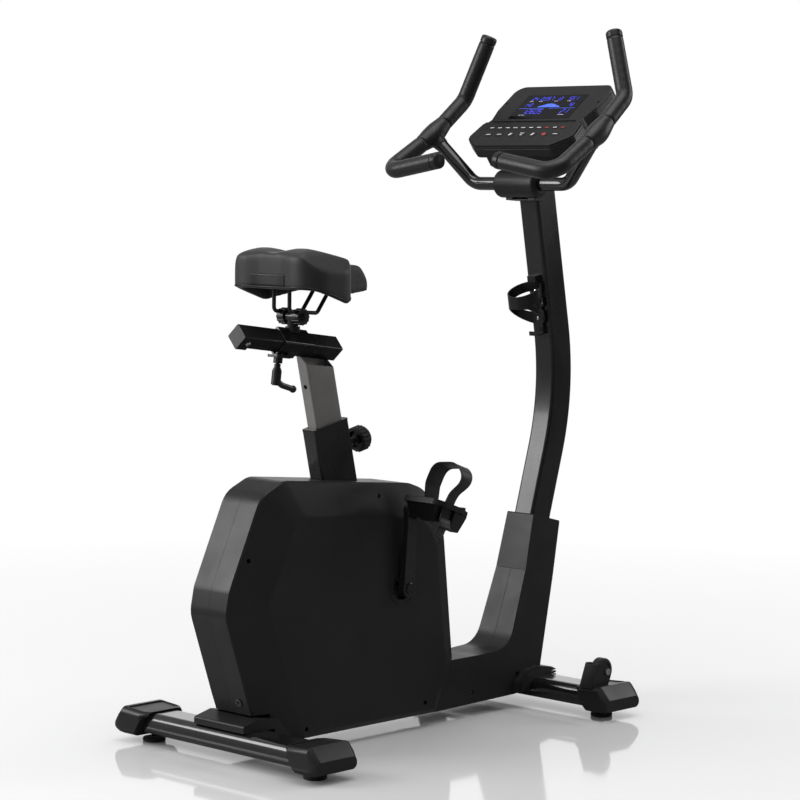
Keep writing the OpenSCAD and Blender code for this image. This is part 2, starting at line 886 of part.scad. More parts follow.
module crank() {
    difference() {
        intersection() {
            front_slab(-40, 40) polygon([
                [arm_x0, -22], [arm_x0 + 18, -22], [arm_x0 + 18, 30], [arm_x0 + 24, crank_l - 30],
                [arm_x0 + 24, crank_l + 16], [arm_x0 + 8, crank_l + 16],
                [arm_x0 + 8, crank_l - 40], [arm_x0, 24]
            ]);
            union() {
                x_rod(0, 200, 0, 0, 20);
                x_rod(0, 200, 0, crank_l, 15);
                side_slab(0, 200, [[-17, 0], [17, 0], [13.5, crank_l], [-13.5, crank_l]]);
            }
        }
        x_rod(60, 120, 0, 0, axle_r);
        x_rod(60, 200, 0, crank_l, 7);
    }
}

module right_crank() {
    color("#1a1a1c") place() translate([0, 0, crank_z]) crank();
}

module left_crank() {
    color("#1a1a1c") place() translate([0, 0, crank_z]) mirror([1, 0, 0]) rotate([180, 0, 0]) crank();
}

module crank_caps() {
    color("#232325") place() translate([0, 0, crank_z]) pair()
        translate([92, 0, 0]) rotate([0, 90, 0]) rotate_extrude()
            polygon([[0, 0], [9.8, 0], [9.8, 5.2], [13, 5.2], [13, 7], [11, 8.5], [0, 8.5]]);
}

pedal_pitch = -20;

// pedal frame: origin on the pedal's axle, tilted nose-down
module on_pedal(side) {
    place() translate([0, 0, crank_z + side * crank_l]) mirror([side < 0 ? 1 : 0, 0, 0])
        rotate([pedal_pitch, 0, 0]) children();
}

module pedal_axles() {
    color("#8f9195") for (s = [-1, 1]) on_pedal(s) {
        x_rod(88, 110, 0, 0, 7);
        x_rod(104, 110, 0, 0, 10);
        x_rod(110, 196, 0, 0, 6);
    }
}

pedal_top = rounded([
    [112, -50, 10], [208, -50, 18], [219, -24, 20], [219, 38, 20], [200, 66, 18],
    [130, 66, 18], [112, 44, 18]
]);
pedal_z0 = 12;
pedal_z1 = 24;

// straps run aslant over the foot: near ends of the outer and inner limb
strap_outer_y = -20;
strap_inner_y = 22;
strap_w = 34;

module pedal() {
    difference() {
        union() {
            // tread frame
            difference() {
                translate([0, 0, pedal_z0]) linear_extrude(pedal_z1 - pedal_z0)
                    polygon(pedal_top);
                translate([0, 0, pedal_z0 - 1]) linear_extrude(9)
                    offset(delta = -5) polygon(pedal_top);
            }
            // axle housing, tapering to the tread
            hull() {
                translate([114, -38, pedal_z0]) cube([84, 88, 10]);
                translate([116, -20, -14]) cube([78, 44, 4]);
            }
            // counterweight below the outer side
            hull() {
                translate([176, 17, 8]) cube([36, 40, 14]);
                translate([182, 20, -28]) cube([22, 30, 4]);
            }
            // raised toe stop
            translate([134, 60, 20]) cube([62, 5, 12]);
        }
        x_rod(100, 200, 0, 0, 6.05);
        x_rod(100, 111.5, 0, 0, 12);
        // strap slots
        translate([199.5, strap_outer_y - 1.5, -60]) cube([7, strap_w + 3, 120]);
        translate([113.6, strap_inner_y - 1.5, -60]) cube([6, strap_w + 3, 120]);
    }
    // tread studs
    for (x = [128:14:184], y = [-40, -14, 14, 50])
        translate([x, y, pedal_z1 - 0.5]) cylinder(h = 2.5, r = 3);
}

module right_pedal() {
    color("#161617") on_pedal(1) pedal();
}

module left_pedal() {
    color("#161617") on_pedal(-1) pedal();
}

strap_loop = rounded([
    [204.9, -14, 0], [205, 50, 30], [232, 92, 30], [194, 119, 34], [130, 114, 34],
    [112, 70, 30], [115.4, -14, 0]
]);
strap_hole = rounded([
    [202, -16, 0], [202, 50, 30], [228.5, 91, 27], [193, 116, 31], [132, 111, 31],
    [115, 70, 30], [118.4, -16, 0]
]);
strap_skew = strap_inner_y - strap_outer_y;

// moves x along y, so that the loop runs from the outer to the inner end
module aslant() {
    k = -strap_skew / 86.6;
    multmatrix([[1, 0, 0, 0], [k, 1, 0, -203.5 * k], [0, 0, 1, 0], [0, 0, 0, 1]]) children();
}

// strap over the foot, threaded down both slots of the pedal
module strap() {
    aslant() front_slab(strap_outer_y, strap_outer_y + strap_w) difference() {
        polygon(strap_loop);
        polygon(strap_hole);
    }
    // loose end and buckle at the outer side
    front_slab(strap_outer_y + 5, strap_outer_y + strap_w - 5)
        polygon([[202.2, -13.5], [205, -13.5], [214, -52], [211, -53]]);
    front_slab(strap_outer_y, strap_outer_y + strap_w)
        polygon([[202, -12.6], [211, -12.6], [216, -27], [204, -27]]);
}

module right_strap() {
    color("#101011") on_pedal(1) strap();
}

module left_strap() {
    color("#101011") on_pedal(-1) strap();
}

// ---------- seat post and slider ----------

post_low = -150;
post_high = 300;

module seat_tube_bush() {
    color("#0f0f10") place() on_post() difference() {
        union() {
            translate([0, 0, -60]) linear_extrude(60 + sleeve_top - 3)
                round_rect(sleeve_w - 5.2, sleeve_d - 5.2, 2.9);
            translate([0, 0, sleeve_top - 3]) linear_extrude(4)
                round_rect(sleeve_w + 1, sleeve_d + 1, 5.5);
        }
        translate([0, 0, -70]) linear_extrude(220)
            round_rect(post_w + 0.6, post_d + 0.6, 4.3);
        translate([0, 30, 65.6]) rotate([-90, 0, 0]) cylinder(h = 30, r = 6.2);
    }
}

module seat_post() {
    color("#6a6764") place() difference() {
        on_post() translate([0, 0, post_low]) linear_extrude(post_high - post_low)
            round_rect(post_w, post_d, 4);
        on_post() translate([0, 0, post_low - 1]) linear_extrude(post_high - post_low + 2)
            round_rect(post_w - 5, post_d - 5, 2);
        // seat for the slider tube
        on_slider() rotate([0, 45, 0]) translate([-slide_a, -20, -slide_a])
            cube([60, 400, 60]);
        // index holes for the height pin
        for (t = [-135:25:90])
            on_post() translate([0, 34, t + 0.6]) rotate([-90, 0, 0]) cylinder(h = 12, r = 6.5);
        on_post() translate([0, -45, 222]) rotate([-90, 0, 0]) cylinder(h = 12, r = 5);
    }
}

module slider_profile(a, r) {
    rotate(45) round_rect(2 * a, 2 * a, r);
}

module saddle_slider() {
    color("#121214") place() on_slider() difference() {
        rotate([90, 0, 0]) translate([0, 0, -slide_len]) linear_extrude(slide_len)
            slider_profile(slide_a, 2.5);
        rotate([90, 0, 0]) translate([0, 0, -slide_len - 1]) linear_extrude(slide_len + 2)
            slider_profile(slide_a - 2.5, 1);
        // slot for the clamp stud, cut in the lower edge
        translate([-5.5, 26, -30]) cube([11, 118, 14]);
        rotate([0, 45, 0]) translate([slide_a - 5, slide_screw_y, 0]) rotate([0, 90, 0])
            cylinder(h = 8, r = 2.8);
    }
}

module slider_end_caps() {
    color("#3a3b3d") place() on_slider() for (y = [-2, slide_len]) {
        translate([0, y + 2, 0]) rotate([90, 0, 0]) linear_extrude(2)
            slider_profile(slide_a, 2.5);
        translate([0, y < 0 ? 14 : y, 0]) rotate([90, 0, 0]) linear_extrude(14) difference() {
            slider_profile(slide_a - 2.6, 1);
            slider_profile(slide_a - 5, 1);
        }
    }
}

// screw that holds the rear end cap
module slider_screw() {
    color("#b0b2b5") place() on_slider() rotate([0, 45, 0]) translate([slide_a, slide_screw_y, 0])
        rotate([0, 90, 0]) screw_head(5.5);
}

knob_r = 29;

module height_knob() {
    color("#161617") place() on_post() translate([0, sleeve_d / 2, 65.6]) rotate([-90, 0, 0]) {
        // pin, stopping just short of the post
        translate([0, 0, -(sleeve_d - post_d) / 2 + 0.4]) cylinder(h = 46, r = 6);
        difference() {
            union() {
                translate([0, 0, 30]) cylinder(h = 24, r = knob_r - 2.5);
                translate([0, 0, 54]) rotate_extrude()
                    polygon([[0, 0], [knob_r - 2.5, 0], [knob_r - 6, 5], [knob_r - 14, 8], [0, 9]]);
                for (i = [0:17]) rotate([0, 0, 20 * i]) translate([knob_r - 4, 0, 32])
                    cylinder(h = 20, r = 4);
            }
            difference() {
                translate([0, 0, 29]) cylinder(h = 10, r = 21);
                translate([0, 0, 29]) cylinder(h = 12, r = 11);
            }
        }
    }
}

// ---------- saddle carriage ----------

car_y0 = 112;
car_y1 = 198;
lever_y = 124;
head_r = 17;
tilt_y = -273;
tilt_z = 940;

module saddle_carriage() {
    color("#131315") place() {
        on_slider() difference() {
            union() {
                // roof over the slider
                rotate([90, 0, 0]) translate([0, 0, -car_y1]) linear_extrude(car_y1 - car_y0)
                    carriage_section(-4);
                // closed band behind the post
                rotate([90, 0, 0]) translate([0, 0, -166]) linear_extrude(166 - car_y0)
                    carriage_section(-33);
                // boss for the clamp stud
                translate([0, lever_y, -46]) cylinder(h = 20, r = 10);
                translate([-15, lever_y - 18, -34]) cube([30, 40, 6]);
            }
            rotate([90, 0, 0]) translate([0, 0, -400]) linear_extrude(500)
                slider_profile(slide_a + gap, 2.8);
            translate([0, lever_y, -60]) cylinder(h = 40, r = 4.06);
        }
        // upright that carries the saddle clamp
        difference() {
            union() {
                translate([0, tilt_y, 915]) cylinder(h = tilt_z - 915, r = 12);
                x_rod(-13, 13, tilt_y, tilt_z, 13);
                translate([0, tilt_y, 905]) cylinder(h = 14, r = 16);
            }
            x_rod(-20, 20, tilt_y, tilt_z, 4.06);
            on_slider() rotate([90, 0, 0]) translate([0, 0, -400]) linear_extrude(500)
                slider_profile(slide_a + gap, 2.8);
        }
    }
}

module carriage_section(low) {
    intersection() {
        slider_profile(slide_a + 4.5, 4);
        translate([-60, low]) square([120, 80]);
    }
}

// ratchet lever hanging under the carriage on its clamp stud
module clamp_lever() {
    color("#141415") place() on_slider() translate([0, lever_y, 0]) {
        translate([0, 0, -70]) cylinder(h = 47, r = 4);
        translate([0, 0, -57]) cylinder(h = 10, r = 6.4);
        for (z = [-56.4:2.4:-49]) translate([0, 0, z]) cylinder(h = 1.2, r = 7.6);
        translate([0, 0, -62]) cylinder(h = 5.4, r = 9);
        translate([0, 0, -92]) cylinder(h = 31, r = 10.5);
        translate([0, 0, -94]) cylinder(h = 3, r = 8);
        bent_rod([[0, 0, -82], [0, 18, -92], [0, 54, -98]], 14, 6.6);
        translate([0, 52, -97.7]) sphere(8.2);
    }
}

// two clamp heads on one bolt; the rails run through them above the bolt
module saddle_clamp() {
    color("#101012") place() {
        difference() {
            union() for (x = [13.4, -33.4]) {
                x_rod(x, x + 20, tilt_y, tilt_z, head_r);
                for (a = [0:30:330])
                    translate([x, tilt_y, tilt_z]) rotate([a, 0, 0]) translate([0, head_r - 0.6, 0])
                        rotate([0, 90, 0]) cylinder(h = 20, r = 2);
            }
            pair() bent_bore(rail_points, 10, rail_r + 0.06);
        }
        for (x = [33, -39])
            translate([x, tilt_y, tilt_z]) rotate([0, 90, 0]) cylinder(h = 6, r = 8, $fn = 6);
        x_rod(-43, 43, tilt_y, tilt_z, 4);
    }
}

rail_r = 4.4;
rail_points = [
    [24, -306, 1009], [24, -306, 952], [24, -224, 947], [24, -177, 1009]
];

module saddle_rails() {
    color("#0f0f10") place() pair() bent_rod(rail_points, 10, rail_r);
}

// ---------- saddle ----------

saddle_half = [
    [30, -341, 30], [88, -354, 60], [133, -330, 60], [136, -228, 40],
    [84, -192, 50], [36, -136, 70], [24, -61, 20]
];

// closed outline from its right half, listed from the back to the front
function both_sides(p) =
    concat(p, [for (i = [len(p) - 1:-1:0]) [-p[i][0], p[i][1], p[i][2]]]);

module saddle_outline(inset) {
    offset(delta = -inset) polygon(rounded(both_sides(saddle_half)));
}

pocket_z = 1018;
pocket_wall = 15;

module saddle_pad() {
    color("#1a1a1b") place() difference() {
        intersection() {
            translate([0, 0, 960]) linear_extrude(140) saddle_outline(0);
            // side view: high at the back, falling to the nose, wings hanging half way
            side_slab(-150, 150, rounded([
                [-360, 1004, 0], [-356, 1072, 34], [-304, 1091, 60], [-196, 1062, 120],
                [-146, 1051, 60], [-92, 1049, 30], [-60, 1006, 18], [-62, 992, 8],
                [-120, 986, 20], [-190, 992, 20], [-236, 970, 12], [-318, 998, 30]
            ]));
            // rear view, with the dip between both sides
            front_slab(-400, 0) polygon(rounded([
                [-150, 960, 0], [-150, 1026, 60], [-68, 1106, 70], [0, 1068, 60],
                [68, 1106, 70], [150, 1026, 60], [150, 960, 0]
            ]));
        }
        translate([0, 0, 900]) linear_extrude(pocket_z - 900) saddle_outline(pocket_wall);
    }
}

// moulded pan inside the pad, with a socket for each end of the rails
module saddle_pan() {
    color("#121213") place() difference() {
        union() {
            translate([0, 0, pocket_z - 5]) linear_extrude(5 - gap / 3)
                saddle_outline(pocket_wall + 0.3);
            translate([0, 0, 1003]) linear_extrude(12) difference() {
                saddle_outline(pocket_wall + 0.3);
                saddle_outline(pocket_wall + 3.3);
            }
            for (x = [-24, 24]) {
                translate([x, -306, 997]) cylinder(h = 18, r = 9);
                translate([x - 9, -203, 1003]) cube([18, 40, 12]);
            }
            for (x = [-3, 1]) translate([x, -320, 1006]) cube([2, 236, 8]);
        }
        pair() bent_rod(rail_points, 10, rail_r + 0.06);
    }
}

// ---------- bottle cage ----------

cage_r = 41;
cage_t = 3;
cage_y = -46;
cage_spine = 8;
cage_holes = [30, 96];

// band of the round cage wall, cut by a side outline [y, z] measured from the bottle's axis
module cage_band(points) {
    intersection() {
        translate([0, cage_y, -20]) difference() {
            cylinder(h = 200, r = cage_r);
            translate([0, 0, -1]) cylinder(h = 202, r = cage_r - cage_t);
        }
        translate([0, cage_y, 0]) side_slab(-60, 60, points);
    }
}

module bottle_cage() {
    color("#0f0f10") place() on_column() difference() {
        cage_body();
        for (z = cage_holes) translate([0, 1, z]) rotate([90, 0, 0]) cylinder(h = 12, r = 2.5);
        // room for the screw heads
        for (z = cage_holes) translate([0, -cage_spine - 0.2, z])
            rotate([90, 0, 0]) cylinder(h = 6, r = 4.9);
    }
}

module cage_body() {
    union() {
        // spine with a catch at its top
        difference() {
            translate([-12, -cage_spine, -8]) cube([24, cage_spine - 0.3, 142]);
            translate([-6, -cage_spine - 1, 48]) cube([12, 5, 30]);
        }
        translate([-12, -18, 128]) cube([24, 14, 6]);
        translate([-12, -18, 120]) cube([24, 4, 12]);
        // hoop, falling to the front
        cage_band([[-45, 69], [-34, 71], [45, 99], [45, 121], [-26, 101], [-45, 95]]);
        // lower arms, rising to the front of the hoop
        cage_band([[-45, 68], [-45, 79], [-26, 77], [45, 42], [45, 12], [-26, 66]]);
        // pointed wings half way up
        cage_band([[17, 70], [19, 74], [28, 82], [45, 88], [45, 52], [28, 62]]);
        // toe the bottle stands on
        translate([-14, cage_y + 16, -8]) cube([28, -cage_y - 18, 4]);
        translate([-14, cage_y + 16, -8]) cube([28, 3, 10]);
    }
}

// ---------- handlebar ----------

side_path = [bar_tip, bar_bend, bar_tee, bar_knee, bar_top];
stem_path = concat([bar_tee, stem_bend], flip([stem_bend, bar_tee]));
bar_bend_r = 40;
stem_bend_r = 48;
plug_l = 16;

function toward(a, b, d) = a + unit(b - a) * d;

tee_rear = toward(bar_tee, bar_bend, 42);
tee_front = toward(bar_tee, bar_knee, 46);

// the cross tube ends inside both bars; all are hollow
module handlebar_tube() {
    color("#0e0e10") place() difference() {
        union() {
            pair() bent_rod(side_path, bar_bend_r, bar_r);
            bent_rod(stem_path, stem_bend_r, stem_r);
        }
        pair() bent_bore(side_path, bar_bend_r, bar_r - 2);
        bent_rod(stem_path, stem_bend_r, stem_r - 2);
    }
}

// foam sleeves of the right side, slid over the tube
module side_foams() {
    difference() {
        union() {
            bent_rod([toward(bar_tip, bar_bend, plug_l + gap), bar_bend,
                toward(tee_rear, bar_bend, gap)], bar_bend_r, grip_r);
            bent_rod([toward(tee_front, bar_knee, gap), bar_knee,
                toward(bar_top, bar_knee, plug_l + gap)], bar_bend_r, horn_r);
        }
        bent_bore(side_path, bar_bend_r, bar_r + 0.06);
    }
}

module grip_foams() {
    color("#151516") place() pair() side_foams();
}

// cap on a tube end a; it swallows the last stretch of the tube
module end_plug(a, b, r) {
    d = a - b;
    translate(toward(a, b, plug_l)) rotate([0, acos(d[2] / norm(d)), atan2(d[1], d[0])])
        difference() {
            rotate_extrude() polygon([
                [0, 0], [r, 0], [r, plug_l - 5], [r - 1, plug_l - 2], [r - 3, plug_l],
                [r - 7, plug_l + 1], [0, plug_l + 1.4]
            ]);
            translate([0, 0, -1]) cylinder(h = plug_l + 1.06, r = bar_r + 0.06);
        }
}

module grip_end_plugs() {
    color("#19191a") place() pair() {
        end_plug(bar_tip, bar_bend, grip_r);
        end_plug(bar_top, bar_knee, horn_r);
    }
}

// moulded sleeve over the joint of a bar and the cross tube
module tee_sleeve() {
    difference() {
        union() {
            bent_rod([tee_rear, bar_tee, tee_front], 60, grip_r + 1.5);
            rod(bar_tee, toward(bar_tee, stem_bend, 34), stem_r + 2.5);
            translate(bar_tee) sphere(grip_r + 5);
        }
        bent_bore(side_path, bar_bend_r, bar_r + 0.06);
        bent_rod(stem_path, stem_bend_r, stem_r + 0.06);
    }
}

module tee_sleeves() {
    color("#171718") place() pair() tee_sleeve();
}

cover_half = 55;

module clamp_cover() {
    color("#1a1a1c") place() difference() {
        union() {
            x_rod(-cover_half, cover_half, stem_mid[1], stem_mid[2], 33);
            for (s = [-1, 1])
                translate([s * cover_half, stem_mid[1], stem_mid[2]]) rotate([0, s * 90, 0])
                    rotate_extrude() polygon([[0, 0], [33, 0], [31.5, 4], [27, 7], [20, 8], [0, 8]]);
            side_slab(-44, 44, rounded([
                [462, 1191.4, 0], [502, 1189, 4], [515, 1199, 8], [509, 1250, 8], [462, 1256, 0]
            ]));
        }
        x_rod(-90, 90, stem_mid[1], stem_mid[2], stem_r + 0.6);
        x_rod(4 - cover_half, cover_half - 4, stem_mid[1], stem_mid[2], 29);
        column_shape(0.4);
        side_slab(-25, 25, [[455, 1195], [495, 1189], [488, 1254], [455, 1254]]);
    }
}

// ---------- console ----------

console_plan = rounded([
    [-118, -2, 26], [-164, 34, 18], [-156, 88, 10], [-142, 110, 12], [-151, 150, 60],
    [-151, 247, 28], [151, 247, 28], [151, 150, 60], [142, 110, 12], [156, 88, 10],
    [164, 34, 18], [118, -2, 26]
]);
console_under = rounded([
    [-96, 2, 20], [-132, 34, 20], [-128, 150, 40], [-128, 226, 30], [128, 226, 30],
    [128, 150, 40], [132, 34, 20], [96, 2, 20]
]);

module console_back() {
    color("#18181a") place() on_console() difference() {
        union() {
            translate([0, 0, -28]) linear_extrude(24) polygon(console_plan);
            translate([0, 0, -58]) linear_extrude(31) polygon(console_under);
        }
        translate([0, 0, -25]) linear_extrude(22) offset(delta = -3) polygon(console_plan);
        translate([0, 0, -55]) linear_extrude(40) offset(delta = -3) polygon(console_under);
    }
}

module console_front() {
    color("#1d1d1f") place() on_console() difference() {
        union() {
            translate([0, 0, -3.8]) linear_extrude(5) offset(delta = -0.5) polygon(console_plan);
            // raised key deck with its ridge
            translate([0, 0, 1]) linear_extrude(4) offset(delta = -4) intersection() {
                polygon(console_plan);
                translate([-200, -10]) square([400, 110]);
            }
            translate([-128, 97, 1]) cube([256, 4, 6]);
        }
        translate([-94, 114, 0]) cube([188, 96, 5]);
        translate([-86, 120, -6]) cube([172, 84, 12]);
        translate([-126, 26, 4]) cube([252, 66, 4]);
        for (x = [-143, 143]) translate([x, 178, -6]) cylinder(h = 20, r = 3.2);
    }
}

module console_lens() {
    color("#050608") place() on_console() translate([-93.7, 114.3, 0])
        cube([187.4, 95.4, 1.6]);
}

module console_keypad() {
    color("#222225") place() on_console() {
        translate([-125.7, 26.3, 4]) cube([251.4, 65.4, 0.8]);
        for (i = [0:9]) translate([-110 + i * 24.4, 72, 4.7]) linear_extrude(0.8)
            round_rect(17, 9, 2);
        for (i = [0:6]) translate([-104 + i * 34.6, 46, 4.7]) linear_extrude(0.8)
            round_rect(22, 14, 3);
    }
}

main_frame();
stabilisers();
rear_end_caps();
front_end_caps();
rear_left_foot();
rear_right_foot();
front_left_foot();
front_right_foot();
rear_covers();
front_stabiliser_cover();
left_side_cover();
right_side_cover();
left_front_cover();
right_front_cover();
column_boot();
column();
bottle_cage();
seat_tube_bush();
left_wheel();
right_wheel();
wheel_axles();
frame_bolts();
cover_screws();
brake_motor();
brake_arm();
flywheel();
flywheel_axle();
drive_belt();
crank_axle();
crank_bearings();
drive_pulley();
left_crank();
right_crank();
crank_caps();
pedal_axles();
left_pedal();
right_pedal();
left_strap();
right_strap();
seat_post();
saddle_slider();
slider_end_caps();
slider_screw();
height_knob();
saddle_carriage();
clamp_lever();
saddle_clamp();
saddle_rails();
saddle_pan();
saddle_pad();
handlebar_tube();
grip_foams();
grip_end_plugs();
tee_sleeves();
clamp_cover();
console_back();
console_front();
console_lens();
console_keypad();
power_jack();
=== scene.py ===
"""Looks of the upright exercise bike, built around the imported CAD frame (metres)."""

import json
import math

import bmesh
import bpy
from mathutils import Euler, Matrix, Vector
from mathutils.bvhtree import BVHTree


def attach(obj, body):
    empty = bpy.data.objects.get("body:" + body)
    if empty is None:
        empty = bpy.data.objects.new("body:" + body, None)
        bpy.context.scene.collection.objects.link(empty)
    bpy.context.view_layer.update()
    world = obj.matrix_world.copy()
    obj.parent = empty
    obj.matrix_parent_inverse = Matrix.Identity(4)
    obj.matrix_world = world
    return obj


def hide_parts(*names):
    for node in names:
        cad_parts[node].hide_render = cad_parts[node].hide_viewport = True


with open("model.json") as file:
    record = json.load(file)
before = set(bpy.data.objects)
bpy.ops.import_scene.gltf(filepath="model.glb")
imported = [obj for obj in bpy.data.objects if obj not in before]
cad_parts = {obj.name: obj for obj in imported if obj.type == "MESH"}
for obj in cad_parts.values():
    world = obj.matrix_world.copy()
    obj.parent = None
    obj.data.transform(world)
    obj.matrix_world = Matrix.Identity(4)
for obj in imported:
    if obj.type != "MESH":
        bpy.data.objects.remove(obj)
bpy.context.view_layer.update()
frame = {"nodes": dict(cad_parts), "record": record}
NODES = frame["nodes"]
BODY_OF = {n: b for b, ns in frame["record"]["behaviour"]["bodies"].items() for n in ns}
SLOT_OF = {s["node"]: s["material_slot"] for s in frame["record"]["subparts"]}

# The CAD places everything from the crank axis; its frame sits this far along Y.
CRANK_Y = -66.0


def mm(x, y, z):
    """Point given in millimetres in the crank frame, as metres in the row frame."""
    return Vector((x, y + CRANK_Y, z)) / 1000


# ---------- shape helpers ----------


def fillet(points, step=4.0):
    """Closed or open outline with round corners from [a, b, r] points, as in the CAD source."""
    out = []
    n = len(points)
    for i in range(n):
        here = Vector(points[i][:2])
        radius = points[i][2]
        before = (Vector(points[i - 1][:2]) - here).normalized()
        after = (Vector(points[(i + 1) % n][:2]) - here).normalized()
        half = math.acos(max(-1.0, min(1.0, before.dot(after)))) / 2
        if radius <= 0 or half > math.radians(89):
            out.append(here)
            continue
        trim = radius / math.tan(half)
        centre = here + (before + after).normalized() * radius / math.sin(half)
        start = here + before * trim - centre
        end = here + after * trim - centre
        turn = start.angle_signed(end)
        count = max(3, int(abs(turn) * radius / step) + 2)
        for k in range(count):
            a = -turn * k / (count - 1)
            out.append(centre + Vector((
                start.x * math.cos(a) - start.y * math.sin(a),
                start.x * math.sin(a) + start.y * math.cos(a),
            )))
    return out


def bent_line(points, radius, step=4.0):
    """3-D path in mm with every inner corner bent to one radius, evenly stepped."""
    pts = [Vector(p) for p in points]
    raw = [pts[0]]
    for i in range(1, len(pts) - 1):
        before = (pts[i - 1] - pts[i]).normalized()
        after = (pts[i + 1] - pts[i]).normalized()
        half = before.angle(after) / 2
        trim = radius / math.tan(half)
        centre = pts[i] + (before + after).normalized() * radius / math.sin(half)
        start = pts[i] + before * trim - centre
        end = pts[i] + after * trim - centre
        axis = start.cross(end).normalized()
        turn = start.angle(end)
        count = max(4, int(turn * radius / step))
        for k in range(count + 1):
            raw.append(centre + Matrix.Rotation(turn * k / count, 3, axis) @ start)
    raw.append(pts[-1])
    return resampled(raw, step)


def resampled(points, step, closed=False):
    """The same line with points the same distance apart."""
    line = list(points)
    if closed:
        line.append(line[0])
    lengths = [0.0]
    for a, b in zip(line, line[1:]):
        lengths.append(lengths[-1] + (b - a).length)
    count = max(2, round(lengths[-1] / step))
    out = []
    j = 0
    for k in range(count if closed else count + 1):
        at = lengths[-1] * k / count
        while j < len(lengths) - 2 and lengths[j + 1] < at:
            j += 1
        span = lengths[j + 1] - lengths[j]
        t = 0.0 if span == 0 else (at - lengths[j]) / span
        out.append(line[j].lerp(line[j + 1], t))
    return out


def toward(a, b, d):
    """The point at distance d from a on the way to b."""
    a, b = Vector(a), Vector(b)
    return a + (b - a).normalized() * d


def flipped(points):
    """The path mirrored to the rider's other side."""
    return [Vector((-p[0], p[1], p[2])) for p in points]


def mesh_object(name, verts, faces, material, smooth=True):
    """A new object with one material and outward normals."""
    mesh = bpy.data.meshes.new(name)
    mesh.from_pydata([tuple(v) for v in verts], [], faces)
    mesh.validate()
    obj = bpy.data.objects.new(name, mesh)
    bpy.context.scene.collection.objects.link(obj)
    bm = bmesh.new()
    bm.from_mesh(mesh)
    bmesh.ops.recalc_face_normals(bm, faces=bm.faces)
    bm.to_mesh(mesh)
    bm.free()
    mesh.materials.append(material)
    for poly in mesh.polygons:
        poly.use_smooth = smooth
    return obj


def sweep(name, path, section, material, closed=False, up=None, scales=None):
    """Closed section swept along a path (mm, crank frame).
    The section is one list of 2-D points, or one list for each point of the path."""
    n = len(path)
    varied = isinstance(section[0], list)
    m = len(section[0]) if varied else len(section)
    verts, faces = [], []
    side = None
    for i, p in enumerate(path):
        ahead = path[(i + 1) % n] if closed or i < n - 1 else path[i]
        behind = path[i - 1] if closed or i > 0 else path[i]
        along = (ahead - behind).normalized()
        if up is not None:
            side = Vector(up).cross(along).normalized()
        elif side is None:
            side = along.orthogonal().normalized()
        else:
            side = (side - along * side.dot(along)).normalized()
        over = along.cross(side)
        scale = 1.0 if scales is None else scales[i]
        for a, b in section[i] if varied else section:
            verts.append(mm(*(p + (side * a + over * b) * scale)))
    rings = n if closed else n - 1
    for i in range(rings):
        j = (i + 1) % n
        for k in range(m):
            beside = (k + 1) % m
            faces.append((i * m + k, i * m + beside, j * m + beside, j * m + k))
    if not closed:
        faces.append(tuple(range(m - 1, -1, -1)))
        faces.append(tuple((n - 1) * m + k for k in range(m)))
    return mesh_object(name, verts, faces, material)


def circle(radius, count=28):
    """Round section."""
    return [(radius * math.cos(2 * math.pi * k / count), radius * math.sin(2 * math.pi * k / count))
            for k in range(count)]


def rounded_bar(width, height, radius, count=4):
    """Rectangle section with round corners."""
    out = []
    for cx, cy, start in ((1, 1, 0), (-1, 1, 90), (-1, -1, 180), (1, -1, 270)):
        for k in range(count + 1):
            a = math.radians(start + 90 * k / count)
            out.append((cx * (width / 2 - radius) + radius * math.cos(a),
                        cy * (height / 2 - radius) + radius * math.sin(a)))
    return out


def joined(name, objects):
    """The objects as one, under the given name."""
    bpy.ops.object.select_all(action="DESELECT")
    for o in objects:
        o.select_set(True)
    bpy.context.view_layer.objects.active = objects[0]
    if len(objects) > 1:
        bpy.ops.object.join()
    objects[0].name = name
    objects[0].data.name = name
    return objects[0]


def applied(obj):
    """Every modifier of the object turned into mesh."""
    bpy.ops.object.select_all(action="DESELECT")
    obj.select_set(True)
    bpy.context.view_layer.objects.active = obj
    bpy.ops.object.convert(target="MESH")
    return obj


def rides_as(obj, node, *more):
    """The new piece stands for CAD nodes: it keeps their body and hides them."""
    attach(obj, BODY_OF[node])
    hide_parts(node, *more)
    return obj


def added_to(obj, node):
    """A new piece that rides with a CAD node without standing for it."""
    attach(obj, BODY_OF[node])
    return obj


# ---------- materials ----------


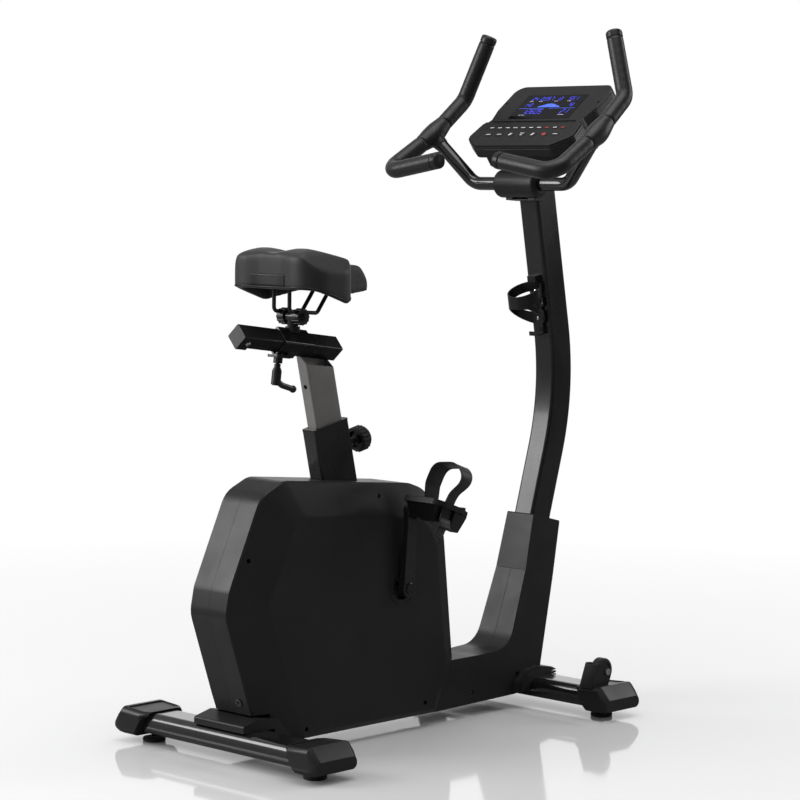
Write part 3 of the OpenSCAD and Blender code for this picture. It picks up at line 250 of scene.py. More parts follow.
class Finish:
    """A node material being put together round one Principled shader."""

    def __init__(self, name):
        self.material = bpy.data.materials.new(name)
        self.material.use_nodes = True
        self.tree = self.material.node_tree
        self.shader = self.tree.nodes["Principled BSDF"]
        self.place = self.node("ShaderNodeTexCoord").outputs["Object"]

    def node(self, kind, **settings):
        made = self.tree.nodes.new(kind)
        for key, value in settings.items():
            setattr(made, key, value)
        return made

    def link(self, a, b):
        self.tree.links.new(a, b)

    def set(self, **values):
        for key, value in values.items():
            self.shader.inputs[key.replace("_", " ")].default_value = value
        return self

    def stretched(self, stretch):
        mapping = self.node("ShaderNodeMapping")
        mapping.inputs["Scale"].default_value = stretch
        self.link(self.place, mapping.inputs["Vector"])
        return mapping.outputs["Vector"]

    def noise(self, scale, detail=4.0, rough=0.55, stretch=None, warp=0.0):
        made = self.node("ShaderNodeTexNoise")
        made.inputs["Scale"].default_value = scale
        made.inputs["Detail"].default_value = detail
        made.inputs["Roughness"].default_value = rough
        made.inputs["Distortion"].default_value = warp
        self.link(self.stretched(stretch) if stretch else self.place, made.inputs["Vector"])
        return made.outputs["Fac"]

    def cells(self, scale, feature="F1", stretch=None):
        made = self.node("ShaderNodeTexVoronoi", feature=feature)
        made.inputs["Scale"].default_value = scale
        self.link(self.stretched(stretch) if stretch else self.place, made.inputs["Vector"])
        return made.outputs["Distance"]

    def ranged(self, source, low, high, out_low, out_high):
        made = self.node("ShaderNodeMapRange")
        self.link(source, made.inputs["Value"])
        for key, value in zip(("From Min", "From Max", "To Min", "To Max"),
                              (low, high, out_low, out_high)):
            made.inputs[key].default_value = value
        return made.outputs["Result"]

    def math(self, operation, a, b):
        made = self.node("ShaderNodeMath", operation=operation)
        for socket, value in zip(made.inputs, (a, b)):
            if isinstance(value, (int, float)):
                socket.default_value = value
            else:
                self.link(value, socket)
        return made.outputs[0]

    def mixed(self, factor, a, b):
        made = self.node("ShaderNodeMix", data_type="RGBA")
        self.link(factor, made.inputs["Factor"])
        for key, value in ((6, a), (7, b)):
            if isinstance(value, tuple):
                made.inputs[key].default_value = (*value, 1.0)
            else:
                self.link(value, made.inputs[key])
        return made.outputs[2]

    def edges(self, low=0.53, high=0.62):
        """1 on outer edges that hands and cloths rub, 0 elsewhere."""
        geometry = self.node("ShaderNodeNewGeometry")
        return self.ranged(geometry.outputs["Pointiness"], low, high, 0.0, 1.0)

    def upward(self, low=0.5, high=1.0):
        """1 on faces that dust settles on."""
        geometry = self.node("ShaderNodeNewGeometry")
        split = self.node("ShaderNodeSeparateXYZ")
        self.link(geometry.outputs["Normal"], split.inputs[0])
        return self.ranged(split.outputs["Z"], low, high, 0.0, 1.0)

    def colour(self, source):
        self.link(source, self.shader.inputs["Base Color"])
        return self

    def roughness(self, source):
        self.link(source, self.shader.inputs["Roughness"])
        return self

    def relief(self, *layers):
        """Bump layers as (height, depth in metres, strength), the first one the coarsest."""
        normal = None
        for height, depth, strength in layers:
            bump = self.node("ShaderNodeBump")
            bump.inputs["Distance"].default_value = depth
            bump.inputs["Strength"].default_value = strength
            self.link(height, bump.inputs["Height"])
            if normal is not None:
                self.link(normal, bump.inputs["Normal"])
            normal = bump.outputs["Normal"]
        self.link(normal, self.shader.inputs["Normal"])
        return self


def shade(colour, factor):
    """The colour made darker or lighter."""
    return tuple(min(1.0, c * factor) for c in colour)


DUST_TONE = (0.22, 0.22, 0.215)


def worn_colour(f, colour, edge_gain, blotch_scale, dust):
    """Slight cloudiness, rubbed edges and a breath of dust on top faces."""
    cloudy = f.ranged(f.noise(blotch_scale, 5.0), 0.3, 0.7, 0.0, 1.0)
    base = f.mixed(cloudy, shade(colour, 0.88), shade(colour, 1.14))
    rubbed = f.math("MULTIPLY", f.edges(), f.ranged(f.noise(140, 3.0), 0.35, 0.7, 0.0, 1.0))
    base = f.mixed(f.math("MULTIPLY", rubbed, 0.6), base, shade(colour, edge_gain))
    settled = f.math("MULTIPLY", f.upward(), f.ranged(f.noise(38, 8.0), 0.42, 0.75, 0.0, dust))
    return f.mixed(settled, base, DUST_TONE)


def painted(name, colour, rough, peel=0.25, coat=0.35, dust=0.008):
    """Powder coat or stove enamel: orange peel under a thin gloss."""
    f = Finish(name)
    f.set(Specular_IOR_Level=0.4, Coat_Weight=coat, Coat_Roughness=0.1)
    f.colour(worn_colour(f, colour, 2.6, 6.0, dust))
    smears = f.noise(11, 6.0, stretch=(1.0, 1.0, 0.35))
    f.roughness(f.ranged(smears, 0.3, 0.72, rough * 0.78, rough * 1.32))
    f.relief((f.noise(7, 2.0), 0.0006, peel * 0.5),
             (f.noise(520, 2.0), 0.00003, peel),
             (f.noise(2600, 2.0), 0.00002, peel * 0.6))
    return f.material


def moulded(name, colour, rough, grain=1500.0, depth=0.00005, strength=0.35, dust=0.012):
    """Injection-moulded plastic with a spark-eroded grain."""
    f = Finish(name)
    f.set(Specular_IOR_Level=0.36)
    f.colour(worn_colour(f, colour, 2.2, 9.0, dust))
    f.roughness(f.ranged(f.noise(14, 7.0), 0.28, 0.74, rough * 0.86, rough * 1.16))
    f.relief((f.noise(5, 2.0), 0.0008, 0.18),
             (f.noise(grain, 3.0, 0.65), depth, strength),
             (f.cells(grain * 1.7), depth * 0.6, strength * 0.7))
    return f.material


def rubbery(name, colour, rough, grain=900.0):
    """Matt rubber with a soft grain and some dust."""
    f = Finish(name)
    f.set(Specular_IOR_Level=0.35, Sheen_Weight=0.08, Sheen_Roughness=0.5)
    f.colour(worn_colour(f, colour, 1.8, 18.0, 0.06))
    f.roughness(f.ranged(f.noise(30, 6.0), 0.3, 0.7, rough * 0.85, min(1.0, rough * 1.15)))
    f.relief((f.noise(45, 3.0), 0.0003, 0.12), (f.noise(grain, 4.0, 0.6), 0.0001, 0.4))
    return f.material


def foam(name, colour, rough):
    """Closed-cell grip foam: a fine skin over little cells."""
    f = Finish(name)
    f.set(Specular_IOR_Level=0.42, Sheen_Weight=0.06, Sheen_Roughness=0.45)
    f.colour(worn_colour(f, colour, 1.5, 24.0, 0.02))
    f.roughness(f.ranged(f.noise(60, 6.0), 0.3, 0.7, rough * 0.88, rough * 1.14))
    f.relief((f.noise(26, 3.0), 0.0006, 0.14),
             (f.cells(1500, "SMOOTH_F1"), 0.00003, 0.035),
             (f.noise(2600, 2.0), 0.00002, 0.04))
    return f.material


def steel(name, colour, rough, stretch=(1.0, 1.0, 0.03), scale=900.0, strength=0.22):
    """Bare or plated metal with drawing lines along one direction."""
    f = Finish(name)
    f.set(Metallic=1.0, Anisotropic=0.35)
    lines = f.noise(scale, 3.0, stretch=stretch)
    cloudy = f.noise(9, 5.0)
    tone = f.mixed(f.ranged(cloudy, 0.3, 0.7, 0.0, 1.0), shade(colour, 0.9), shade(colour, 1.08))
    f.colour(f.mixed(f.ranged(lines, 0.35, 0.65, 0.0, 0.22), tone, shade(colour, 0.72)))
    f.roughness(f.math("ADD", f.ranged(cloudy, 0.25, 0.75, rough * 0.8, rough * 1.15),
                       f.ranged(lines, 0.3, 0.7, -0.05, 0.06)))
    f.relief((lines, 0.00004, strength), (f.noise(180, 3.0), 0.00008, 0.08))
    return f.material


def leather(name, colour):
    """Moulded polyurethane saddle skin: fine pebble grain and faint stretch marks."""
    f = Finish(name)
    f.set(Specular_IOR_Level=0.42, Sheen_Weight=0.1, Sheen_Roughness=0.4)
    f.colour(worn_colour(f, colour, 1.7, 13.0, 0.035))
    f.roughness(f.ranged(f.noise(22, 6.0), 0.28, 0.72, 0.44, 0.6))
    f.relief((f.noise(16, 3.0), 0.0009, 0.12),
             (f.cells(760, "DISTANCE_TO_EDGE"), 0.00022, 0.3),
             (f.noise(2400, 4.0), 0.00005, 0.4))
    return f.material


def dark_glass(name):
    """Smoked display window with finger smears."""
    f = Finish(name)
    f.set(Specular_IOR_Level=0.22)
    f.colour(f.mixed(f.ranged(f.noise(30, 4.0), 0.3, 0.7, 0.0, 1.0),
                     (0.0016, 0.0016, 0.0026), (0.0034, 0.0034, 0.006)))
    smears = f.noise(16, 8.0, 0.7, stretch=(1.0, 0.5, 0.5), warp=0.6)
    f.roughness(f.ranged(smears, 0.42, 0.8, 0.05, 0.16))
    f.relief((f.noise(220, 2.0), 0.00003, 0.05), (f.noise(12, 2.0), 0.0002, 0.04))
    return f.material


def glowing(name, colour, strength):
    """Lit liquid-crystal segments, a little uneven."""
    f = Finish(name)
    f.set(Roughness=0.3, Emission_Strength=strength)
    tone = f.mixed(f.ranged(f.noise(160, 3.0), 0.3, 0.7, 0.0, 1.0),
                   shade(colour, 0.75), shade(colour, 1.2))
    f.colour(tone)
    f.link(tone, f.shader.inputs["Emission Color"])
    return f.material


def printed(name, colour):
    """Screen-printed ink."""
    f = Finish(name)
    f.colour(f.mixed(f.ranged(f.noise(600, 4.0), 0.35, 0.65, 0.0, 1.0),
                     shade(colour, 0.82), colour))
    f.roughness(f.ranged(f.noise(300, 3.0), 0.3, 0.7, 0.4, 0.6))
    f.relief((f.noise(1500, 2.0), 0.00002, 0.2))
    return f.material


def ribbed_rubber(name):
    """Drive belt: fine lengthwise grooves."""
    f = Finish(name)
    f.set(Specular_IOR_Level=0.3)
    f.colour(worn_colour(f, (0.012, 0.012, 0.012), 1.8, 30.0, 0.05))
    f.roughness(f.ranged(f.noise(120, 4.0), 0.3, 0.7, 0.62, 0.8))
    wave = f.node("ShaderNodeTexWave", bands_direction="X")
    wave.inputs["Scale"].default_value = 140.0
    f.link(f.place, wave.inputs["Vector"])
    f.relief((wave.outputs["Fac"], 0.0006, 0.6))
    return f.material


BLACK = (0.005, 0.005, 0.0055)
CHARCOAL = (0.008, 0.008, 0.0085)

FINISHES = {
    "frame_paint": painted("satin_black_enamel", BLACK, 0.27, peel=0.16, coat=0.3),
    "stabiliser_paint": painted("gloss_black_enamel", (0.004, 0.004, 0.0045), 0.17, 0.14, 0.7, 0.006),
    "cap_plastic": moulded("cap_plastic", CHARCOAL, 0.34, 1700.0, 0.00004, 0.22),
    "cover_plastic": moulded("cover_plastic", CHARCOAL, 0.4, 1500.0, 0.00005, 0.3),
    "housing_plastic": moulded("housing_plastic", CHARCOAL, 0.38, 1400.0, 0.00005, 0.3),
    "foot_rubber": rubbery("foot_rubber", (0.006, 0.006, 0.006), 0.72),
    "cage_plastic": moulded("cage_plastic", BLACK, 0.3, 1800.0, 0.00004, 0.22),
    "wheel_rubber": rubbery("wheel_rubber", (0.007, 0.007, 0.0075), 0.5, 1200.0),
    "bright_steel": steel("bright_steel", (0.55, 0.56, 0.58), 0.28, (0.03, 1.0, 1.0)),
    "screw_steel": steel("screw_steel", (0.62, 0.63, 0.65), 0.22, (1.0, 1.0, 0.3), 1400.0, 0.12),
    "black_bolts": painted("black_oxide", (0.006, 0.006, 0.0065), 0.3, 0.3, 0.1),
    "motor_plastic": moulded("motor_plastic", (0.028, 0.028, 0.030), 0.45),
    "magnet_steel": steel("zinc_steel", (0.33, 0.34, 0.36), 0.42, (1.0, 0.05, 1.0), 500.0),
    "flywheel_iron": steel("turned_iron", (0.28, 0.29, 0.30), 0.36, (1.0, 0.2, 0.2), 700.0),
    "belt_rubber": ribbed_rubber("belt_rubber"),
    "crank_steel": painted("crank_enamel", (0.007, 0.007, 0.0075), 0.3, 0.25, 0.25),
    "pedal_plastic": moulded("pedal_plastic", BLACK, 0.42, 1200.0, 0.00007, 0.4, 0.05),
    "strap_rubber": rubbery("strap_rubber", (0.007, 0.007, 0.0075), 0.48, 1300.0),
    "post_steel": steel("satin_nickel_post", (0.42, 0.41, 0.40), 0.42, (1.0, 1.0, 0.02), 1100.0),
    "knob_plastic": moulded("knob_plastic", BLACK, 0.42, 1300.0, 0.00006, 0.4, 0.05),
    "carriage_paint": painted("carriage_enamel", (0.005, 0.005, 0.0055), 0.2, 0.2, 0.5),
    "lever_metal": painted("lever_enamel", BLACK, 0.3, 0.4, 0.2),
    "pan_plastic": moulded("pan_plastic", (0.006, 0.006, 0.0065), 0.5, 1100.0, 0.00008, 0.45),
    "saddle_skin": leather("saddle_skin", (0.011, 0.011, 0.0115)),
    "bar_paint": painted("bar_enamel", (0.004, 0.004, 0.0045), 0.15, 0.12, 0.7),
    "grip_foam": foam("grip_foam", (0.006, 0.006, 0.0065), 0.4),
    "console_plastic": moulded("console_plastic", (0.008, 0.008, 0.0085), 0.4, 1600.0, 0.00004, 0.26),
    "display_glass": dark_glass("display_glass"),
    "keypad_film": moulded("keypad_film", (0.010, 0.010, 0.011), 0.33, 2400.0, 0.00003, 0.2),
}


# ---------- carried-over CAD nodes ----------

# edge rounding in mm of the hard-edged parts
SOFT_EDGES = {
    "left_side_cover": 2.2, "right_side_cover": 2.2, "rear_covers": 1.0,
    "left_front_cover": 2.0, "right_front_cover": 2.0, "column_boot": 2.2,
    "rear_end_caps": 1.8, "front_end_caps": 1.8,
    "main_frame": 0.6, "column": 0.7, "saddle_slider": 0.8, "slider_end_caps": 0.6,
    "saddle_carriage": 0.8, "left_crank": 1.0, "right_crank": 1.0,
    "left_pedal": 0.6, "right_pedal": 0.6, "console_back": 1.6, "console_front": 0.8,
    "clamp_cover": 0.9, "bottle_cage": 0.5, "clamp_lever": 0.5,
    "saddle_clamp": 0.5, "height_knob": 0.5, "seat_tube_bush": 0.4,
}


def dress(obj, material):
    """The material as the object's only one."""
    obj.data.materials.clear()
    obj.data.materials.append(material)


SAME_POINT = 2e-5  # metres
FLAT_ANGLE = math.radians(0.3)
SHARP_ANGLE = math.radians(34)
BEVEL_ANGLE = math.radians(32)


def softened(node, width):
    """Visual copy of a CAD node with its sharp edges rounded."""
    bm = bmesh.new()
    bm.from_mesh(NODES[node].data)
    bmesh.ops.remove_doubles(bm, verts=bm.verts, dist=SAME_POINT)
    bmesh.ops.dissolve_limit(bm, angle_limit=FLAT_ANGLE, verts=bm.verts, edges=bm.edges)
    mesh = bpy.data.meshes.new(node + "_soft")
    bm.to_mesh(mesh)
    bm.free()
    mesh.materials.append(FINISHES[SLOT_OF[node]])
    obj = bpy.data.objects.new(node + "_soft", mesh)
    bpy.context.scene.collection.objects.link(obj)
    mesh.shade_smooth()
    mesh.set_sharp_from_angle(angle=SHARP_ANGLE)
    bevel = obj.modifiers.new("edges", "BEVEL")
    bevel.width = width / 1000
    bevel.segments = 3
    bevel.limit_method = "ANGLE"
    bevel.angle_limit = BEVEL_ANGLE
    bevel.use_clamp_overlap = True
    even = obj.modifiers.new("normals", "WEIGHTED_NORMAL")
    even.weight = 60
    applied(obj)
    return rides_as(obj, node)


for node, obj in NODES.items():
    dress(obj, FINISHES[SLOT_OF[node]])

for node, width in SOFT_EDGES.items():
    softened(node, width)


# ---------- saddle ----------

SADDLE_VOXEL = 0.0036  # metres
RELAX_STEPS = 10
CROWN_STEPS = 26
# the top is rounded more and more from the first height to the second, in mm
CROWN_FROM = 1008
CROWN_FULL = 1046


def saddle_skin_mesh():
    """The pad's foam form, remeshed and relaxed so that every edge is soft."""
    obj = bpy.data.objects.new("saddle_cover", NODES["saddle_pad"].data.copy())
    bpy.context.scene.collection.objects.link(obj)
    dress(obj, FINISHES["saddle_skin"])
    remesh = obj.modifiers.new("voxels", "REMESH")
    remesh.mode = "VOXEL"
    remesh.voxel_size = SADDLE_VOXEL
    applied(obj)
    crown = obj.vertex_groups.new(name="crown")
    for v in obj.data.vertices:
        height = (v.co.z * 1000 - CROWN_FROM) / (CROWN_FULL - CROWN_FROM)
        crown.add([v.index], max(0.0, min(1.0, height)), "REPLACE")
    relax = obj.modifiers.new("relax", "SMOOTH")
    relax.factor = 0.5
    relax.iterations = RELAX_STEPS
    rounding = obj.modifiers.new("rounding", "SMOOTH")
    rounding.factor = 0.5
    rounding.iterations = CROWN_STEPS
    rounding.vertex_group = "crown"
    applied(obj)
    fine = obj.modifiers.new("fine", "SUBSURF")
    fine.levels = 1
    applied(obj)
    obj.data.shade_smooth()
    return obj


saddle = saddle_skin_mesh()
rides_as(saddle, "saddle_pad")

SADDLE_HALF = [(30, -341, 30), (88, -354, 60), (133, -330, 60), (136, -228, 40),
               (84, -192, 50), (36, -136, 70), (24, -61, 20)]
SADDLE_PLAN = fillet(SADDLE_HALF + [(-x, y, r) for x, y, r in reversed(SADDLE_HALF)])
SADDLE_MIDDLE_Y = -230
PIPING_R = 2.3
PIPING_RISE = 4.0
# rays start this far outside the plan and climb the wall between two heights, in mm
RAY_START = 60
WALL_FROM = 955.0
WALL_TO = 1060
WALL_USUAL = 1000
# how far such a ray may run, in metres
EDGE_REACH = 0.075
LINE_REACH = 0.085


def surface_of(obj):
    """The object's surface, to cast rays at."""
    return BVHTree.FromObject(obj, bpy.context.evaluated_depsgraph_get())


def lower_edge(skin, rise):
    """Line round the pad's wall, a little above its bottom edge."""
    line = []
    for p in resampled(SADDLE_PLAN, 4.0, closed=True):
        outward = Vector((p.x, p.y - SADDLE_MIDDLE_Y, 0)).normalized()
        x = p.x + outward.x * RAY_START
        y = p.y + outward.y * RAY_START
        lowest = None
        z = WALL_FROM
        while z < WALL_TO and lowest is None:
            hit = skin.ray_cast(mm(x, y, z), -outward)
            if hit[0] is not None and hit[3] < EDGE_REACH:
                lowest = z
            z += 1.0
        hit = skin.ray_cast(mm(x, y, (lowest or WALL_USUAL) + rise), -outward)
        if hit[0] is not None and hit[3] < LINE_REACH:
            line.append(hit[0] * 1000 - Vector((0, CRANK_Y, 0)))
    for _ in range(6):
        line = [(line[i - 1] + line[i] * 2 + line[(i + 1) % len(line)]) / 4
                for i in range(len(line))]
    return line


skin = surface_of(saddle)
piping = sweep("saddle_piping", lower_edge(skin, PIPING_RISE), circle(PIPING_R, 12),
               FINISHES["knob_plastic"], closed=True)
added_to(piping, "saddle_pad")


PATCH_LEFT, PATCH_RIGHT = -58.0, 50.0
PATCH_BOTTOM, PATCH_TOP = 1007.0, 1033.0
PATCH_PROUD = 2.0
PATCH_RIM_PROUD = 0.2
SADDLE_REAR_Y = -350.0


def saddle_patch():
    """Blank raised patch on the back of the saddle, wrapped to the skin."""
    columns, rows = 40, 16
    verts, faces = [], []
    for j in range(rows + 1):
        for i in range(columns + 1):
            x = PATCH_LEFT + (PATCH_RIGHT - PATCH_LEFT) * i / columns
            z = PATCH_BOTTOM + (PATCH_TOP - PATCH_BOTTOM) * j / rows
            hit = skin.ray_cast(mm(x, SADDLE_REAR_Y - 70, z), Vector((0, 1, 0)))
            rim = i in (0, columns) or j in (0, rows)
            proud = PATCH_RIM_PROUD if rim else PATCH_PROUD
            y = SADDLE_REAR_Y if hit[0] is None else hit[0].y * 1000 - CRANK_Y
            verts.append(mm(x, y - proud, z))
    for j in range(rows):
        for i in range(columns):
            a = j * (columns + 1) + i
            faces.append((a, a + 1, a + columns + 2, a + columns + 1))
    obj = mesh_object("saddle_patch", verts, faces, FINISHES["knob_plastic"])
    thick = obj.modifiers.new("thick", "SOLIDIFY")
    thick.thickness = 0.0012
    thick.offset = -1
    applied(obj)
    return added_to(obj, "saddle_pad")


saddle_patch()


# ---------- grips ----------

BAR_TIP = (88, 279, 1283)
BAR_BEND = (262, 279, 1254)
BAR_TEE = (255, 433, 1344)
BAR_KNEE = (250, 538, 1430)
BAR_TOP = (192, 563, 1583)
STEM_BEND = (146, 464, 1230)
BEND_R = 40
PLUG_L = 16
GAP = 0.3
LOWER_GRIP_R = 19.9
HORN_GRIP_R = 19.4
# how far the sleeve over the joint reaches back and forward from it
TEE_BACK = 42
TEE_AHEAD = 46


def grip(name, path, radius):
    """Foam sleeve with rolled ends and a barely swollen middle."""
    line = bent_line(path, BEND_R, 3.0)
    n = len(line)
    scales = []
    for i in range(n):
        end = min(i, n - 1 - i)
        rolled = (0.9, 0.97, 0.995)[end] if end < 3 else 1.0
        swell = 0.006 * math.sin(math.pi * i / (n - 1)) + 0.004 * math.sin(i * 0.9)
        scales.append(rolled * (1 + swell))
    return sweep(name, line, circle(radius, 36), FINISHES["grip_foam"], scales=scales)


tee_rear = toward(BAR_TEE, BAR_BEND, TEE_BACK)
tee_front = toward(BAR_TEE, BAR_KNEE, TEE_AHEAD)
GRIP_PATHS = {
    "lower_grip": ([toward(BAR_TIP, BAR_BEND, PLUG_L + GAP), Vector(BAR_BEND),
                    toward(tee_rear, BAR_BEND, GAP)], LOWER_GRIP_R),
    "horn_grip": ([toward(tee_front, BAR_KNEE, GAP), Vector(BAR_KNEE),
                   toward(BAR_TOP, BAR_KNEE, PLUG_L + GAP)], HORN_GRIP_R),
}
grips = []
for label, (path, radius) in GRIP_PATHS.items():
    grips.append(grip("right_" + label, path, radius))
    grips.append(grip("left_" + label, flipped(path), radius))
for piece in grips:
    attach(piece, BODY_OF["grip_foams"])
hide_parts("grip_foams")


SLEEVE_R = 20.3
SLEEVE_SWELL = 5.4
SLEEVE_BEND_R = 60
SLEEVE_VOXEL = 0.0018  # metres
BRANCH_R = 20.5
BRANCH_TAPER = 3.6
BRANCH_L = 36


def tee_sleeve(name, turned):
    """Moulded sleeve over the bar joint: swollen in the middle, blended into its branch."""
    along = bent_line([tee_rear, Vector(BAR_TEE), tee_front], SLEEVE_BEND_R, 3.0)
    swollen = [SLEEVE_R + SLEEVE_SWELL * math.sin(math.pi * i / (len(along) - 1)) ** 1.4
               for i in range(len(along))]
    branch = resampled([Vector(BAR_TEE), toward(BAR_TEE, STEM_BEND, BRANCH_L)], 3.0)
    tapered = [BRANCH_R - BRANCH_TAPER * i / (len(branch) - 1) for i in range(len(branch))]
    parts = []
    for path, radii in ((along, swollen), (branch, tapered)):
        line = flipped(path) if turned else path
        parts.append(sweep(name + "_part", line, circle(1.0, 32), FINISHES["grip_foam"],
                           scales=radii))
    obj = joined(name, parts)
    remesh = obj.modifiers.new("voxels", "REMESH")
    remesh.mode = "VOXEL"
    remesh.voxel_size = SLEEVE_VOXEL
    relax = obj.modifiers.new("relax", "SMOOTH")
    relax.factor = 0.5
    relax.iterations = 8
    applied(obj)
    obj.data.shade_smooth()
    return obj


sleeves = [tee_sleeve("right_tee_sleeve", False), tee_sleeve("left_tee_sleeve", True)]
for piece in sleeves:
    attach(piece, BODY_OF["tee_sleeves"])
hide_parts("tee_sleeves")


# ---------- pedal straps ----------

CRANK_Z = 331
CRANK_L = 175
PEDAL_PITCH = math.radians(-20)
PEDAL_ACROSS = Matrix.Rotation(PEDAL_PITCH, 3, "X") @ Vector((0, 1, 0))
STRAP_LINE = [(203.5, -15, 0), (203.5, 50, 30), (230.3, 91.5, 28.5), (193.5, 117.5, 32.5),
              (131, 112.5, 32.5), (113.5, 70, 30), (116.9, -15, 0)]
STRAP_OUTER_Y = -3
STRAP_INNER_Y = 39
STRAP_THICK = 2.4
TAIL_W = 26
BUCKLE_W = 33
BUCKLE_THICK = 4.5


def eased(t, start, end):
    """0 before start, 1 after end, smooth in between."""
    t = min(1.0, max(0.0, (t - start) / (end - start)))
    return t * t * (3 - 2 * t)


def pedal_point(side, x, y, z):
    """Point of the pedal frame (mm) in the crank frame."""
    p = Matrix.Rotation(PEDAL_PITCH, 3, "X") @ Vector((side * x, y, z))
    return p + Vector((0, 0, CRANK_Z + side * CRANK_L))


def strap_width(t):
    """Width over the length of the strap: from the tail side (0) to the inner side (1)."""
    return 27 + 21 * eased(t, 0.2, 0.5) - 12 * eased(t, 0.75, 1.0)


def strap(side, name):
    """Moulded strap: a wide band over the foot with beaded edges, a notched tail
    and a buckle under the pedal's outer edge."""
    rubber = FINISHES["strap_rubber"]
    outline = resampled([Vector((p.x, p.y, 0)) for p in fillet(STRAP_LINE, 3.0)], 2.5)
    n = len(outline)
    line, sections, edges = [], [], ([], [])
    for i, p in enumerate(outline):
        t = i / (n - 1)
        aslant = 0.5 * eased(t, 0.04, 0.34) + 0.5 * eased(t, 0.5, 0.96)
        y = STRAP_OUTER_Y + (STRAP_INNER_Y - STRAP_OUTER_Y) * aslant
        width = strap_width(t)
        line.append(pedal_point(side, p.x, y, p.y))
        sections.append(rounded_bar(STRAP_THICK, width, 1.1))
        for edge, half in zip(edges, (-width / 2, width / 2)):
            edge.append(pedal_point(side, p.x, y + half * 0.96, p.y))
    parts = [sweep(name, line, sections, rubber, up=PEDAL_ACROSS)]
    for edge in edges:
        parts.append(sweep(name + "_bead", edge, circle(1.75, 10), rubber))
    hanging = [(203.5, STRAP_OUTER_Y, -13), (207, STRAP_OUTER_Y - 2, -27),
               (207, STRAP_OUTER_Y - 10, -54)]
    tail_path = resampled([pedal_point(side, *p) for p in hanging], 2.5)
    parts.append(sweep(name + "_tail", tail_path, rounded_bar(STRAP_THICK + 0.2, TAIL_W, 1.1),
                       rubber, up=PEDAL_ACROSS))
    for at in tail_path[8::2]:
        across = [at - PEDAL_ACROSS * 10, at + PEDAL_ACROSS * 10]
        parts.append(sweep(name + "_notch", resampled(across, 4.0), circle(1.7, 8), rubber))
    plate = resampled([pedal_point(side, x, STRAP_OUTER_Y, z)
                       for x, z in ((205, -10), (208.5, -19), (211, -30))], 2.0)
    parts.append(sweep(name + "_buckle", plate, rounded_bar(BUCKLE_THICK, BUCKLE_W, 2.0),
                       rubber, up=PEDAL_ACROSS))
    for at in (plate[1], plate[-2]):
        across = [at - PEDAL_ACROSS * 16, at + PEDAL_ACROSS * 16]
        parts.append(sweep(name + "_bar", resampled(across, 4.0), circle(3.0, 12), rubber))
    return joined(name, parts)


rides_as(strap(1, "right_strap_band"), "right_strap")
rides_as(strap(-1, "left_strap_band"), "left_strap")


# ---------- display and keys ----------

CONSOLE_ORIGIN = (0, 430, 1314)
CONSOLE_TURN = Euler((math.radians(37), 0, 0)).to_matrix()
# heights over the console's plane, in mm
LENS_TOP = 1.6
KEYS_TOP = 5.5
# lit bars of each digit, named as on a seven-segment display
SEGMENTS = {
    "0": "abcdef", "1": "bc", "2": "abged", "3": "abgcd", "4": "fgbc",
    "5": "afgcd", "6": "afgedc", "7": "abc", "8": "abcdefg", "9": "abcfgd",
}


def on_console(x, y, z):
    """Point of the tilted console face (mm) in the row frame."""
    p = CONSOLE_TURN @ Vector((x, y, z)) + Vector(CONSOLE_ORIGIN)
    return mm(*p)


def flat_pieces(name, outlines, height, material, thick=0.25):
    """Thin printed or lit shapes that lie on the console, each a convex outline."""
    verts, faces = [], []
    for outline in outlines:
        base = len(verts)
        n = len(outline)
        for z in (height, height + thick):
            verts.extend(on_console(x, y, z) for x, y in outline)
        faces.append(tuple(base + n + k for k in range(n)))
        faces.append(tuple(base + n - 1 - k for k in range(n)))
        for k in range(n):
            beside = (k + 1) % n
            faces.append((base + k, base + beside, base + n + beside, base + n + k))
    return mesh_object(name, verts, faces, material, smooth=False)


def bar_shape(x0, y0, x1, y1, half):
    """One lit bar with a slanted end."""
    along = Vector((x1 - x0, y1 - y0))
    side = Vector((-along.y, along.x)).normalized() * half
    point = along.normalized() * half
    a, b = Vector((x0, y0)), Vector((x1, y1))
    return [a + point + side, a, a + point - side, b - point - side, b, b - point + side]


def digit(shape, x, y, w, h):
    """The lit bars of one leaning digit."""
    half = w * 0.085
    lean = h * 0.12
    corners = {
        "tl": (x + lean, y + h), "tr": (x + w + lean, y + h),
        "ml": (x + lean / 2, y + h / 2), "mr": (x + w + lean / 2, y + h / 2),
        "bl": (x, y), "br": (x + w, y),
    }
    ends = {"a": ("tl", "tr"), "b": ("tr", "mr"), "c": ("mr", "br"), "d": ("bl", "br"),
            "e": ("ml", "bl"), "f": ("tl", "ml"), "g": ("ml", "mr")}
    return [bar_shape(*corners[ends[s][0]], *corners[ends[s][1]], half) for s in SEGMENTS[shape]]


def figures():
    """Groups of lit numbers round a bar graph, as on any such display."""
    shapes = []
    for text, x, y, w, h in (("24", -70, 188, 6, 12), ("0357", -42, 188, 6.4, 13),
                             ("13", 6, 188, 6, 12), ("551", 44, 188, 6.4, 13),
                             ("140", -78, 164, 5.6, 11), ("78", 58, 164, 5.6, 11),
                             ("12605", -66, 134, 8, 17), ("21", 52, 134, 8, 17)):
        for k, c in enumerate(text):
            shapes.extend(digit(c, x + k * w * 1.55, y, w, h))
    return shapes


GRAPH_BARS = (4, 6, 8, 11, 13, 14, 14, 13, 11, 8, 6, 4)


def graph():
    """A row of bars and the lines under the upper numbers."""
    shapes = []
    for k, height in enumerate(GRAPH_BARS):
        x = -32 + k * 5.6
        shapes.append([(x, 160), (x + 4.4, 160), (x + 4.4, 160 + height), (x, 160 + height)])
    for x0, x1, y in ((-86, -8, 155), (6, 86, 155)):
        shapes.append([(x0, y), (x1, y), (x1, y + 0.8), (x0, y + 0.8)])
    return shapes


